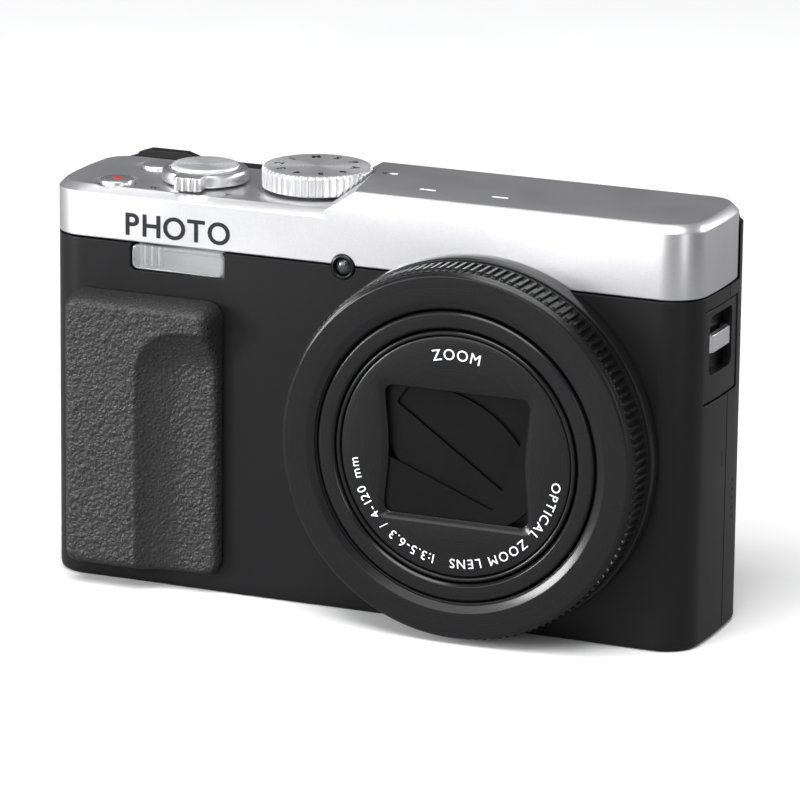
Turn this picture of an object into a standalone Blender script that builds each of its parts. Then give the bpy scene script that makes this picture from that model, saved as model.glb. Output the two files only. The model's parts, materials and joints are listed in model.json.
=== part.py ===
"""A compact digital camera, modelled as the separate pieces it comes apart into.

The lens points along -Y, +Z is up and +X is the lens side. The origin is the middle of the
footprint. Every number is in millimetres until build_mesh scales it to metres.
"""

import math

import bmesh
import bpy
from mathutils import Matrix, Vector

MM = 0.001

# Casing
HALF_WIDTH = 56.0
FRONT_Y = -10.7
REAR_Y = 15.3
SEAM_Z = 56.75
LOW_DECK_Z = 65.45
HIGH_DECK_Z = 68.8
FRONT_CORNER_R = 5.5
REAR_CORNER_R = 5.0
END_BOW = 0.8
WALL = 1.5
FLOOR = 2.0
PARTING_Y = 4.6
GAP = 0.3
COVER_REAR_Y = 13.1
REAR_TOP_Z = 65.75
REAR_INNER_Y = 12.9
BASE_CHAMFER = 1.0
DECK_BEVEL = 1.25
RAMP_WIDTH = 5.0
RAMP_FRONT = (-0.6, -16.0)
RAMP_SLOPE = -0.21
SCREWS = ((50.0, 0.0), (-12.0, 0.0))
SCREW_HEAD_R = 1.65
SOCKET = (20.0, 5.0)
SOCKET_R = 5.0
MICROPHONES = (7.9, 20.2)

# Side trims and strap lugs
TRIM_Y = (-5.2, 8.6)
TRIM_Z = (39.5, 54.2)
LUG_Y = (-3.4, 6.4)
LUG_WINDOW_Z = (43.6, 53.2)
LUG_Z = (47.2, 50.0)

# Flash, focus lamp and grip
FLASH_X = (-40.55, -24.45)
FLASH_Z = (52.5, 56.5)
LAMP = (-3.5, 56.6)
LAMP_R = 1.45
GRIP_X = (-50.8, -24.3)
GRIP_Z = (3.2, 48.6)
GRIP_DEPTH = 5.5
HOLLOW_DEPTH = 2.0

# Lens
LENS_X = 20.0
LENS_Z = 30.6
LENS = (LENS_X, LENS_Z)
ROUND = 40
TUBE_R = 26.4
RING_R = 30.0
BEZEL_R = 29.5
OUTER_BARREL_R = 23.3
INNER_BARREL_R = 20.2
LENS_FRONT_Y = -20.8
WINDOW_HALF_X = 12.2
WINDOW_HALF_Z = 10.3

# Barrier blades: pin angle and radius round the lens axis, and the closing turn
BLADE_R = 19.2
BLADE_THICK = 0.3
BLADE_PITCH = 0.55
LONG_BLADE = (-14.2, 17.8, -34.5)
SHORT_BLADE = (25.8, 16.8, -21.1)

# Controls on the low deck
SHUTTER = (-32.4, -0.3)
LEVER_R = 7.0
LEVER_TAB_TURN = 7.0
DIAL = (-13.9, 2.5)
DIAL_R = 8.9
RECORD = (-45.4, -6.0)
POWER = (-43.9, 6.7)
DECK_BUTTON_R = 2.85

# Inside
MOTOR = (-8.1, 16.7)
MOTOR_R = 4.0
RING_TEETH = 48
BATTERY_X = (-50.0, -29.5)
BATTERY_Y = (-7.6, 1.6)
BATTERY_Z = (3.0, 43.0)
CARD_X = (-50.5, -28.5)
CARD_Y = (4.6, 6.6)
CARD_Z = (3.2, 35.2)

# Tilting monitor
HINGE_Y = 14.95
HINGE_Z = 61.2
ARM_X = (-12.0, 22.0)
ARM_LOW_Z = 48.2
ARM_HALF_THICK = 0.4
MONITOR_X = (-25.5, 52.0)
MONITOR_Z = (3.1, 53.2)
MONITOR_Y = (15.6, 18.2)

# Base door
DOOR_X = (-52.4, -26.0)
DOOR_Y = (-7.8, 9.6)
DOOR_PIVOT_X = -26.65
DOOR_PIVOT_Z = 0.85
DOOR_HALF_THICK = 0.65

# Side door
PORT_Y = (-5.4, 3.9)
PORT_Z = (11.0, 38.0)
PORT_PIVOT = (-56.1, -5.5)

# Rear controls
PAD = (-40.5, 21.0)
EYECUP_X = (31.5, 52.0)
EYECUP_Z = (56.7, 65.6)
EYE_HOLE_X = (35.8, 48.2)
EYE_HOLE_Z = (58.0, 64.2)
DIOPTER = (27.4, 60.8)
THUMB_X = (-52.0, -41.5)
THUMB_Z = (39.0, 64.5)
REAR_BUTTONS = {
    "viewfinder_switch_button": (-31.6, 50.0),
    "quick_menu_button": (-49.4, 34.5),
    "playback_button": (-31.6, 34.5),
    "delete_button": (-49.4, 8.0),
    "display_button": (-31.6, 8.0),
}

MATERIALS = {
    "silver": ((0.72, 0.72, 0.74), 0.35, 0.9),
    "black_plastic": ((0.018, 0.018, 0.02), 0.45, 0.0),
    "black_metal": ((0.03, 0.03, 0.033), 0.35, 0.8),
    "grip_rubber": ((0.03, 0.03, 0.032), 0.75, 0.0),
    "clear": ((0.8, 0.85, 0.88), 0.05, 0.0),
    "dark_glass": ((0.01, 0.01, 0.015), 0.05, 0.0),
    "steel": ((0.55, 0.55, 0.56), 0.3, 1.0),
    "board": ((0.02, 0.14, 0.07), 0.5, 0.0),
    "cell": ((0.1, 0.12, 0.2), 0.5, 0.0),
    "brass": ((0.7, 0.55, 0.25), 0.35, 1.0),
}


def clear_scene():
    for item in list(bpy.data.objects):
        bpy.data.objects.remove(item, do_unlink=True)


def material(name):
    found = bpy.data.materials.get(name)
    if found:
        return found
    color, roughness, metallic = MATERIALS[name]
    made = bpy.data.materials.new(name)
    made.use_nodes = True
    shader = made.node_tree.nodes["Principled BSDF"]
    shader.inputs["Base Color"].default_value = (*color, 1.0)
    shader.inputs["Roughness"].default_value = roughness
    shader.inputs["Metallic"].default_value = metallic
    return made


# Meshes


def place(axis, a, b, height):
    """A point of a plan drawn across an axis: (x, y) for Z, (x, z) for Y, (y, z) for X."""
    if axis == "Z":
        return (a, b, height)
    if axis == "Y":
        return (a, height, b)
    return (height, a, b)


def build_mesh(name, points, faces, finish):
    """One closed object from points in millimetres, with its faces turned outwards."""
    shape = bmesh.new()
    corners = [shape.verts.new(Vector(point) * MM) for point in points]
    for face in faces:
        shape.faces.new([corners[index] for index in face])
    bmesh.ops.recalc_face_normals(shape, faces=shape.faces)
    mesh = bpy.data.meshes.new(name)
    shape.to_mesh(mesh)
    shape.free()
    mesh.shade_smooth()
    mesh.set_sharp_from_angle(angle=math.radians(35))
    piece = bpy.data.objects.new(name, mesh)
    bpy.context.scene.collection.objects.link(piece)
    mesh.materials.append(material(finish))
    return piece


def loft(name, sections, finish, axis="Z"):
    """A solid through (height, outline) sections whose outlines have equal counts."""
    count = len(sections[0][1])
    points = [place(axis, a, b, height) for height, outline in sections for a, b in outline]
    faces = [list(range(count)), [len(points) - count + i for i in range(count)]]
    for level in range(len(sections) - 1):
        low = level * count
        for i in range(count):
            j = (i + 1) % count
            faces.append([low + i, low + j, low + count + j, low + count + i])
    return build_mesh(name, points, faces, finish)


def prism(name, outline, low, high, finish, axis="Z"):
    return loft(name, [(low, outline), (high, outline)], finish, axis)


def box(name, x, y, z, finish="black_plastic"):
    outline = [(x[0], y[0]), (x[1], y[0]), (x[1], y[1]), (x[0], y[1])]
    return prism(name, outline, z[0], z[1], finish)


def lathe(name, profile, centre, finish, axis="Y", steps=48):
    """A closed profile of (radius, height) turned round an axis through centre."""
    points = []
    rings = []
    for radius, height in profile:
        turns = 1 if radius == 0 else steps
        rings.append([len(points) + i % turns for i in range(steps)])
        for i in range(turns):
            angle = 2 * math.pi * i / steps
            a = centre[0] + radius * math.cos(angle)
            b = centre[1] + radius * math.sin(angle)
            points.append(place(axis, a, b, height))
    faces = []
    for k, ring in enumerate(rings):
        other = rings[(k + 1) % len(rings)]
        for i in range(steps):
            j = (i + 1) % steps
            face = list(dict.fromkeys([ring[i], ring[j], other[j], other[i]]))
            if len(face) > 2:
                faces.append(face)
    return build_mesh(name, points, faces, finish)


def disc(name, radius, low, high, centre, finish, axis="Y", steps=32):
    return lathe(name, [(0, low), (radius, low), (radius, high), (0, high)], centre, finish, axis, steps)


def ring(name, inner, outer, low, high, centre, finish, axis="Y", steps=48):
    profile = [(inner, low), (outer, low), (outer, high), (inner, high)]
    return lathe(name, profile, centre, finish, axis, steps)


def combine(piece, tool, operation, solver="EXACT"):
    """Cut, join or intersect a piece with a tool solid, which is used up."""
    step = piece.modifiers.new(operation.lower(), "BOOLEAN")
    step.operation = operation
    step.solver = solver
    step.object = tool
    graph = bpy.context.evaluated_depsgraph_get()
    result = bpy.data.meshes.new_from_object(piece.evaluated_get(graph))
    piece.modifiers.clear()
    piece.data = result
    bpy.data.objects.remove(tool, do_unlink=True)


def cut(piece, *tools):
    for tool in tools:
        combine(piece, tool, "DIFFERENCE")


def bore(piece, *tools):
    """Holes through a plate that already holds many, where the exact solver leaves open edges."""
    for tool in tools:
        combine(piece, tool, "DIFFERENCE", "MANIFOLD")


def join(piece, *tools):
    for tool in tools:
        combine(piece, tool, "UNION")


def keep(piece, tool):
    combine(piece, tool, "INTERSECT")


def pivot_at(piece, x, y, z):
    """Move the object's origin to a point without moving its shape."""
    origin = Vector((x, y, z)) * MM
    piece.data.transform(Matrix.Translation(-origin))
    piece.location = origin


# Outlines


def arc(x, y, radius, start, end, steps=6):
    turns = [math.radians(start + (end - start) * i / steps) for i in range(steps + 1)]
    return [(x + radius * math.cos(t), y + radius * math.sin(t)) for t in turns]


def rounded(low_a, high_a, low_b, high_b, radius, steps=5):
    return (
        arc(high_a - radius, low_b + radius, radius, -90, 0, steps)
        + arc(high_a - radius, high_b - radius, radius, 0, 90, steps)
        + arc(low_a + radius, high_b - radius, radius, 90, 180, steps)
        + arc(low_a + radius, low_b + radius, radius, 180, 270, steps)
    )


def bowed(point, front, rear):
    """Swell a plan point outwards, most at mid-depth."""
    x, y = point
    span = (y - (front + rear) / 2) / ((rear - front) / 2)
    return (x + math.copysign(END_BOW * (1 - span * span), x), y)


def body_outline(inset=0.0, rear=REAR_Y):
    """Plan of the casing: flat front and back, rounded corners and gently bowed ends."""
    x = HALF_WIDTH - END_BOW - inset
    front = FRONT_Y + inset
    back = rear - inset
    near = FRONT_CORNER_R - inset
    far = REAR_CORNER_R - inset
    side = [(x, front + near + (back - far - front - near) * t / 4) for t in (1, 2, 3)]
    outline = (
        arc(x - near, front + near, near, -90, 0)
        + side
        + arc(x - far, back - far, far, 0, 90)
        + arc(-x + far, back - far, far, 90, 180)
        + [(-a, b) for a, b in reversed(side)]
        + arc(-x + near, front + near, near, 180, 270)
    )
    return [bowed(point, front, back) for point in outline]


def cover_outline(inset=0.0):
    return body_outline(inset, COVER_REAR_Y)


def window_outline(grow=0.0):
    """The lens opening: straight top and bottom, with sides that bow in at mid-height."""
    x = WINDOW_HALF_X + grow
    z = WINDOW_HALF_Z + grow
    waist = 0.7
    right = [(x - waist * math.cos(t * math.pi / 2) ** 2, z * t) for t in (-0.8, -0.4, 0, 0.4, 0.8)]
    left = [(-a, -b) for a, b in right]
    bottom = [(-x, -z + 1.2), (-x + 1.2, -z), (x - 1.2, -z), (x, -z + 1.2)]
    top = [(-a, -b) for a, b in bottom]
    return [(LENS_X + a, LENS_Z + b) for a, b in bottom + right + top + left]


# Casing


def lens_hole(low, high, radius=TUBE_R + 0.5):
    return disc("lens_hole", radius, low, high, LENS, "black_plastic", steps=ROUND)


def casing_solid(name, top):
    sections = [(0.0, body_outline(BASE_CHAMFER)), (BASE_CHAMFER, body_outline()), (top, body_outline())]
    solid = loft(name, sections, "black_plastic")
    cut(solid, prism("hollow", body_outline(WALL, REAR_INNER_Y + WALL), FLOOR, 90, "black_plastic"))
    return solid


def make_front_shell():
    shell = casing_solid("front_shell", SEAM_Z - 0.15)
    cut(shell, box("rear_half", (-60, 60), (PARTING_Y - GAP / 2, 20), (-1, 90)))
    cut(shell, lens_hole(-14, -5), flash_block("flash_hole", 0.3, -14, -5), lamp_hole())
    cut_openings(shell)


def make_rear_shell():
    shell = casing_solid("rear_shell", REAR_TOP_Z)
    cut(shell, box("front_half", (-60, 60), (-20, PARTING_Y + GAP / 2), (-1, 90)))
    cut(shell, prism("cover_space", cover_outline(-0.25), SEAM_Z - 0.15, 90, "black_plastic"))
    join(shell, *rear_rises())
    cut(shell, box("arm_recess", spread(ARM_X, 0.7), (HINGE_Y - 0.85, 20), (ARM_LOW_Z - 1.2, 90)))
    cut(shell, viewfinder_hole())
    for x, z in REAR_BUTTONS.values():
        cut(shell, disc("button_hole", 2.45, 10, 20, (x, z), "black_plastic", steps=24))
    cut(shell, disc("pad_hole", 2.4, 10, 20, PAD, "black_plastic", steps=24))
    cut_openings(shell)


def rear_rises():
    """The strip behind the high deck and the thumb hump behind the low one."""
    strip = [(2.0, REAR_TOP_Z - 1), (50.0, REAR_TOP_Z - 1), (50.0, 68.3), (5.0, 68.3)]
    hump = [(-52.0, REAR_TOP_Z - 1), (-41.0, REAR_TOP_Z - 1), (-42.5, 66.4), (-50.0, 66.4)]
    low, high = COVER_REAR_Y + 0.35, REAR_Y - 0.05
    return [
        prism("strip", strip, low, high, "black_plastic", "Y"),
        prism("hump", hump, low, high, "black_plastic", "Y"),
    ]


def cut_openings(shell):
    """Openings shared by both halves of the casing: doors, side trims and base screws."""
    cut(shell, box("base_door_hole", spread(DOOR_X, GAP), spread(DOOR_Y, GAP), (-1, FLOOR + 1)))
    for side in (-1, 1):
        cut(shell, trim_block("trim_hole", side, 0.2, 0.3))
    port = box("port_hole", (-60, -53), spread(PORT_Y, GAP), spread(PORT_Z, GAP))
    cut(shell, port)
    bore(shell, *[disc("screw_hole", 1.15, -1, 4, spot, "black_plastic", "Z", 16) for spot in SCREWS])
    head_r = SCREW_HEAD_R + 0.35
    bore(shell, *[disc("head_hole", head_r, -1, 1.4, spot, "black_plastic", "Z", 24) for spot in SCREWS])
    bore(shell, disc("socket_hole", SOCKET_R + GAP, -1, 4, SOCKET, "black_plastic", "Z", 32))


def spread(limits, by):
    return (limits[0] - by, limits[1] + by)


def deck_block(name, top, grow):
    """The top cover's outside up to one deck, with the bevel round its top edge."""
    sections = [
        (SEAM_Z + 0.15, cover_outline(-grow)),
        (top - DECK_BEVEL - grow, cover_outline(-grow)),
        (top, cover_outline(DECK_BEVEL)),
    ]
    return loft(name, sections, "silver")


def low_side():
    """Everything over the low deck: its edge runs back from the ramp past the mode dial."""
    top_front, front = RAMP_FRONT
    rear = 18.0
    base_front = top_front - RAMP_WIDTH
    base_rear = base_front + RAMP_SLOPE * (rear - front)
    low, high = LOW_DECK_Z, 80.0
    run = RAMP_WIDTH / (HIGH_DECK_Z - low) * (high - low)
    points = [
        (-70, front, 40), (base_front, front, 40), (base_rear, rear, 40), (-70, rear, 40),
        (-70, front, high), (base_front + run, front, high), (base_rear + run, rear, high), (-70, rear, high),
        (base_front, front, low), (base_rear, rear, low),
    ]
    faces = [
        [0, 1, 2, 3], [4, 5, 6, 7], [0, 3, 7, 4],
        [1, 8, 9, 2], [8, 5, 6, 9],
        [0, 4, 5, 8, 1], [3, 2, 9, 6, 7],
    ]
    return build_mesh("low_side", points, faces, "silver")


def make_top_cover():
    cover = deck_block("top_cover", HIGH_DECK_Z, 0.0)
    above = low_side()
    cut(above, deck_block("low_deck", LOW_DECK_Z, 1.0))
    cut(cover, above)
    inner = prism("inner", cover_outline(WALL), 50, LOW_DECK_Z - WALL, "silver")
    high_inner = prism("high_inner", cover_outline(WALL + 0.1), 50, HIGH_DECK_Z - WALL, "silver")
    cut(high_inner, box("left", (-60, 6), (-20, 20), (40, 90)))
    cut(cover, inner, high_inner)
    cut(cover, disc("dial_pocket", DIAL_R + 0.5, LOW_DECK_Z - 0.1, 80, DIAL, "silver", "Z", 48))
    button_r = DECK_BUTTON_R + 0.2
    for spot, radius in ((RECORD, button_r), (POWER, button_r), (DIAL, 2.9), (SHUTTER, 3.0)):
        bore(cover, disc("deck_hole", radius, 60, 80, spot, "silver", "Z", 32))
    bore(cover, lens_hole(-14, -5), lamp_hole(), viewfinder_hole())
    for x in MICROPHONES:
        slot = rounded(x - 1.5, x + 1.5, -4.1, -3.3, 0.39, 4)
        bore(cover, prism("microphone_slot", slot, 60, 80, "silver"))


def lamp_hole():
    return disc("lamp_hole", LAMP_R + 0.65, -14, -5, LAMP, "black_plastic", steps=24)


def viewfinder_hole():
    outline = rounded(*EYE_HOLE_X, *EYE_HOLE_Z, 1.0, 3)
    return prism("viewfinder_hole", outline, 9, 20, "black_plastic", "Y")


def make_chassis():
    plate = prism("chassis_plate", rounded(-23.5, 53.0, 4.2, 55.5, 2.0, 3), 10.5, 11.3, "steel", "Y")
    cut(plate, prism("sensor_gap", rounded(14, 26, 26, 35.5, 0.5, 2), 9, 13, "steel", "Y"))
    prism("main_board", rounded(-22.5, 51.0, 5.0, 54.0, 1.0, 3), 11.6, 12.5, "board", "Y")
    box("image_sensor", (15.5, 24.5), (9.4, 10.25), (27.0, 34.2), "dark_glass")


def make_tripod_socket():
    profile = [(3.2, 0.15), (SOCKET_R, 0.15), (SOCKET_R, 2.4), (6.8, 2.4), (6.8, 3.5), (3.2, 3.5)]
    lathe("tripod_socket", profile, SOCKET, "steel", "Z", 24)


def make_screws():
    profile = [(0, 0.25), (SCREW_HEAD_R, 0.25), (SCREW_HEAD_R, 1.05), (0.85, 1.05), (0.85, 5.5), (0, 5.5)]
    for number, spot in enumerate(SCREWS, start=1):
        screw = lathe(f"base_screw_{number}", profile, spot, "steel", "Z", 16)
        for half_x, half_y in ((1.1, 0.2), (0.2, 1.1)):
            x = (spot[0] - half_x, spot[0] + half_x)
            cut(screw, box("cross_slot", x, (spot[1] - half_y, spot[1] + half_y), (0, 0.6)))


# Side trims and strap lugs


def side_limits(side, deep):
    return tuple(sorted((side * deep, side * 60.0)))


def trim_block(name, side, inset, grow):
    x = side_limits(side, HALF_WIDTH - 2.0 - grow)
    return box(name, x, spread(TRIM_Y, grow), spread(TRIM_Z, grow))


def make_side_trims():
    for side, label in ((-1, "right_hand"), (1, "left_hand")):
        trim = prism(f"{label}_side_trim", body_outline(0.15), *TRIM_Z, "black_plastic")
        keep(trim, box("slab", side_limits(side, HALF_WIDTH - 1.9), TRIM_Y, (0, 90)))
        cut(trim, box("lug_window", side_limits(side, 50), LUG_Y, LUG_WINDOW_Z))
        prism(f"{label}_strap_lug", lug_outline(side), *LUG_Z, "silver")


def lug_outline(side):
    """A flat bar bent into a shallow bridge over its pocket, its ends turned inwards."""
    near, far = LUG_Y[0] + 0.4, LUG_Y[1] - 0.4
    out, back = HALF_WIDTH - 0.1, HALF_WIDTH - 3.2
    thick = 1.0
    outline = [
        (back, near), (out - 0.8, near), (out, near + 0.8), (out, far - 0.8), (out - 0.8, far), (back, far),
        (back, far - thick), (out - thick - 0.2, far - thick), (out - thick, far - thick - 0.2),
        (out - thick, near + thick + 0.2), (out - thick - 0.2, near + thick), (back, near + thick),
    ]
    return [(side * x, y) for x, y in outline]


# Flash and lamp


def flash_block(name, grow, low, high, finish="clear"):
    outline = rounded(*spread(FLASH_X, grow), *spread(FLASH_Z, grow), 1.0, 3)
    return prism(name, outline, low, high, finish, "Y")


def make_flash():
    flash_block("flash_window", 0.0, -10.75, -8.9)
    trough = [(-40.2, 51.2), (-40.2, 60.0), (-24.8, 60.0), (-24.8, 51.2)]
    reflector = prism("flash_reflector", trough, -8.5, -3.2, "steel", "Y")
    bowl = [(-9.1, 51.9), (-9.1, 58.8), (-6.0, 58.0), (-4.2, 56.4), (-4.2, 54.4), (-6.0, 52.7)]
    cut(reflector, prism("bowl", bowl, -39.6, -25.4, "steel", "X"))
    disc("flash_tube", 0.9, -39.2, -25.8, (-5.8, 55.4), "clear", "X", 16)
    disc("flash_capacitor", 4.4, 26.0, 50.0, (-19.5, -2.0), "black_plastic", "Z", 24)


def make_focus_lamp():
    dome = [(0, -10.9), (0.7, -10.75), (1.2, -10.4), (LAMP_R, -9.9), (LAMP_R, -7.0), (0, -7.0)]
    lathe("focus_lamp_lens", dome, LAMP, "dark_glass", steps=24)


# Grip


def grip_outline(inset):
    return rounded(*spread(GRIP_X, -inset), *spread(GRIP_Z, -inset), 4.0, 5)


def make_grip():
    """The leather-grained grip: a swelling with a finger hollow down its inner half."""
    start = FRONT_Y - GAP
    front = start - GRIP_DEPTH
    insets = ((start, 0.0), (front + 2.3, 0.3), (front + 0.6, 1.4), (front, 3.0))
    grip = loft("grip_pad", [(y, grip_outline(inset)) for y, inset in insets], "grip_rubber", "Y")
    hollow = arc(-31.5, 34.5, 6.5, 180, 90, 6) + [(-20.0, 41.0), (-20.0, 0.0), (-38.0, 0.0)]
    cut(grip, prism("finger_hollow", hollow, front - 4, start - HOLLOW_DEPTH, "grip_rubber", "Y"))


# Lens


def make_lens_body():
    base = [(27.0, FRONT_Y - 0.25), (30.5, FRONT_Y - 0.25), (30.3, -13.4), (27.0, -13.4)]
    lathe("lens_base_ring", base, LENS, "black_plastic", steps=ROUND)
    tube = [(23.7, -20.0), (TUBE_R, -20.0), (TUBE_R, 9.2), (7.0, 9.2), (7.0, 8.4), (23.7, 8.4)]
    lathe("lens_fixed_tube", tube, LENS, "black_plastic", steps=ROUND)
    band = [(26.7, -13.7), (26.7, -20.0), (29.3, -20.0), (29.7, -19.6), (RING_R, -19.4), (RING_R, -13.7)]
    lathe("control_ring", band, LENS, "black_metal", steps=ROUND)
    bezel = [
        (25.3, LENS_FRONT_Y), (29.0, LENS_FRONT_Y), (BEZEL_R, -20.5), (BEZEL_R, -20.3), (23.9, -20.3),
    ]
    lathe("lens_bezel_ring", bezel, LENS, "black_metal", steps=ROUND)


def make_barrels():
    outer = [
        (20.6, -20.1), (21.0, -20.5), (23.0, -20.5), (OUTER_BARREL_R, -20.2), (OUTER_BARREL_R, 8.0),
        (21.6, 8.0), (21.6, -19.2), (20.6, -19.2),
    ]
    piece = lathe("outer_barrel", outer, LENS, "black_metal", steps=ROUND)
    pivot_at(piece, LENS_X, 0, LENS_Z)
    inner = [
        (19.6, -20.3), (19.8, -20.4), (INNER_BARREL_R, -20.2), (INNER_BARREL_R, 6.5), (18.4, 6.5),
        (18.4, 0.5), (9.2, 0.5), (9.2, -1.0), (18.4, -1.0),
        (18.4, -13.5), (11.2, -13.5), (11.2, -16.9), (19.6, -16.9),
    ]
    piece = lathe("inner_barrel", inner, LENS, "black_metal", steps=ROUND)
    pivot_at(piece, LENS_X, 0, LENS_Z)


def make_front_ring():
    """The disc across the front of the inner barrel, with the opening that the blades close."""
    front = [(0, -20.2), (18.9, -20.2), (19.4, -19.9), (19.4, -19.4), (0, -19.4)]
    plate = lathe("lens_front_plate", front, LENS, "black_metal", steps=ROUND)
    cut(plate, prism("window", window_outline(), -25, -15, "black_metal", "Y"))
    pivot_at(plate, LENS_X, 0, LENS_Z)


def make_glass():
    front = [(0, -16.6), (5.0, -16.2), (8.0, -15.6), (11.0, -14.6), (11.0, -12.6), (0, -12.6)]
    lathe("front_lens_element", front, LENS, "dark_glass", steps=32)
    middle = [(0, -3.0), (5.0, -2.4), (9.0, -1.2), (9.0, 0.7), (0, 0.7)]
    lathe("zoom_lens_element", middle, LENS, "dark_glass", steps=24)
    rear = [(0, 7.2), (6.6, 7.8), (6.6, 8.6), (0, 8.9)]
    lathe("focus_lens_element", rear, LENS, "dark_glass", steps=20)


def turned(a, b, pin_a, pin_b, degrees):
    """A point of the lens's front view turned about a pin."""
    angle = math.radians(degrees)
    x, z = a - pin_a, b - pin_b
    return (
        pin_a + x * math.cos(angle) - z * math.sin(angle),
        pin_b + x * math.sin(angle) + z * math.cos(angle),
    )


def blade_tool(outline, low, high):
    return prism("blade_tool", [(LENS_X + a, LENS_Z + b) for a, b in outline], low, high, "black_metal", "Y")


def make_blade(name, blade, flip, layer):
    """One barrier blade, closed. Open, it lies in the barrel and outside the lens opening.

    Every place it passes on its way stays inside the barrel, which is what shapes its rim.
    """
    pin_angle, pin_r, closing = blade
    pin = (pin_r * math.cos(math.radians(pin_angle)), pin_r * math.sin(math.radians(pin_angle)))
    back = -19.15 + layer * BLADE_PITCH
    front = back + BLADE_THICK
    circle = arc(0, 0, BLADE_R, 0, 360, 60)[:-1]
    piece = blade_tool(circle, back, front)
    piece.name = name
    for part in (0.25, 0.5, 0.75, 1.0):
        path = [turned(a, b, *pin, closing * part) for a, b in circle]
        keep(piece, blade_tool(path, back - 1, front + 1))
    x, z = WINDOW_HALF_X + 0.25, WINDOW_HALF_Z + 0.25
    opening = [turned(a, b, *pin, closing) for a, b in rounded(-x, x, -z, z, 0.6, 3)]
    trim = [(-30, pin[1] + 2.0), (30, pin[1] + 2.0), (30, 40), (-30, 40)]
    tools = [opening, [turned(a, b, *pin, closing) for a, b in trim]]
    if pin[1] > 0:
        spare = [(-30, -8.0), (0, -8.0), (0, 40), (-30, 40)]
        tools.append([turned(a, b, *pin, closing) for a, b in spare])
    for outline in tools:
        cut(piece, blade_tool(outline, back - 1, front + 1))
    sign = -1 if flip else 1
    if flip:
        centre = Matrix.Translation(Vector((LENS_X, 0, LENS_Z)) * MM)
        piece.data.transform(centre @ Matrix.Rotation(math.pi, 4, "Y") @ centre.inverted())
    pivot_at(piece, LENS_X + sign * pin[0], back, LENS_Z + sign * pin[1])


def make_blades():
    make_blade("lower_short_blade", SHORT_BLADE, False, 0)
    make_blade("lower_long_blade", LONG_BLADE, False, 1)
    make_blade("upper_long_blade", LONG_BLADE, True, 2)
    make_blade("upper_short_blade", SHORT_BLADE, True, 3)


def make_zoom_drive():
    """The motor, and the toothed ring round the fixed tube that works the barrels."""
    disc("zoom_motor", MOTOR_R, -1.9, 8.9, MOTOR, "steel", steps=24)
    gear = prism("zoom_ring_gear", gear_outline(LENS, RING_TEETH, 27.6, 28.1), -8.7, -2.7, "brass", "Y")
    cut(gear, disc("tube_hole", TUBE_R + 0.4, -12, 0, LENS, "brass", steps=ROUND))
    pivot_at(gear, LENS_X, -5, LENS_Z)


def gear_outline(centre, teeth, root, tip):
    outline = []
    for tooth in range(teeth):
        for share, radius in ((0.0, root), (0.3, root), (0.42, tip), (0.88, tip)):
            angle = 2 * math.pi * (tooth + share) / teeth
            outline.append((centre[0] + radius * math.cos(angle), centre[1] + radius * math.sin(angle)))
    return outline


# Controls on the deck


def make_shutter():
    low = LOW_DECK_Z + 0.4
    cup = [
        (2.3, 62.5), (2.75, 62.5), (2.75, low), (LEVER_R - 0.1, low), (LEVER_R, low + 0.2),
        (LEVER_R, 67.7), (LEVER_R - 0.2, 67.9), (5.9, 67.9), (5.9, 66.6), (2.3, 66.6),
    ]
    lever = lathe("zoom_lever", cup, SHUTTER, "silver", "Z", 28)
    corners = ((-2.3, -10.0), (2.3, -10.0), (2.3, -6.4), (-2.3, -6.4))
    tab = [turned(SHUTTER[0] + a, SHUTTER[1] + b, *SHUTTER, LEVER_TAB_TURN) for a, b in corners]
    join(lever, prism("tab", tab, low + 0.1, 68.1, "silver"))
    pivot_at(lever, *SHUTTER, 66)
    profile = [(0, 63.0), (1.9, 63.0), (1.9, 67.6), (5.5, 67.6), (5.5, 68.1), (4.9, 68.5), (0, 68.35)]
    button = lathe("shutter_button", profile, SHUTTER, "silver", "Z", 28)
    pivot_at(button, *SHUTTER, 68)


def make_mode_dial():
    profile = [
        (0, 61.0), (2.4, 61.0), (2.4, 65.9), (DIAL_R - 0.4, 65.9), (DIAL_R, 66.2),
        (DIAL_R, 69.0), (DIAL_R - 0.5, 69.4), (0, 69.3),
    ]
    dial = lathe("mode_dial", profile, DIAL, "silver", "Z", 36)
    pivot_at(dial, *DIAL, 66)


def make_deck_buttons():
    radius = DECK_BUTTON_R
    flange = [(0, 62.3), (radius + 0.3, 62.3), (radius + 0.3, 63.0), (radius, 63.0)]
    profile = flange + [(radius, 65.7), (radius - 0.35, 65.95), (0, 66.0)]
    for name, spot in (("record_button", RECORD), ("power_button", POWER)):
        button = lathe(name, profile, spot, "silver", "Z", 20)
        pivot_at(button, *spot, 65)


# Back


def make_monitor():
    """The arm and the monitor turn together: up, over the eyecup, until the screen faces forward."""
    radius = ARM_HALF_THICK
    plate = arc(HINGE_Y, HINGE_Z, radius, 0, 180, 6) + arc(HINGE_Y, ARM_LOW_Z, radius, 180, 360, 6)
    arm = prism("monitor_arm", plate, *ARM_X, "black_metal", "X")
    frame = loft("monitor_frame", monitor_sections(), "black_plastic", "Y")
    seat = rounded(*spread(MONITOR_X, -4.0), *spread(MONITOR_Z, -3.2), 0.6, 2)
    cut(frame, prism("screen_seat", seat, 17.3, 20, "black_plastic", "Y"))
    glass = rounded(*spread(MONITOR_X, -4.2), *spread(MONITOR_Z, -3.4), 0.5, 2)
    pane = prism("monitor_screen", glass, 17.5, 18.1, "dark_glass", "Y")
    for piece in (arm, frame, pane):
        pivot_at(piece, sum(ARM_X) / 2, HINGE_Y, HINGE_Z)


def monitor_sections():
    def edge(inset):
        return rounded(*spread(MONITOR_X, -inset), *spread(MONITOR_Z, -inset), 1.6, 3)

    front, rear = MONITOR_Y
    return [(front, edge(0.4)), (front + 0.4, edge(0.0)), (rear - 0.5, edge(0.0)), (rear, edge(0.5))]


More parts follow.
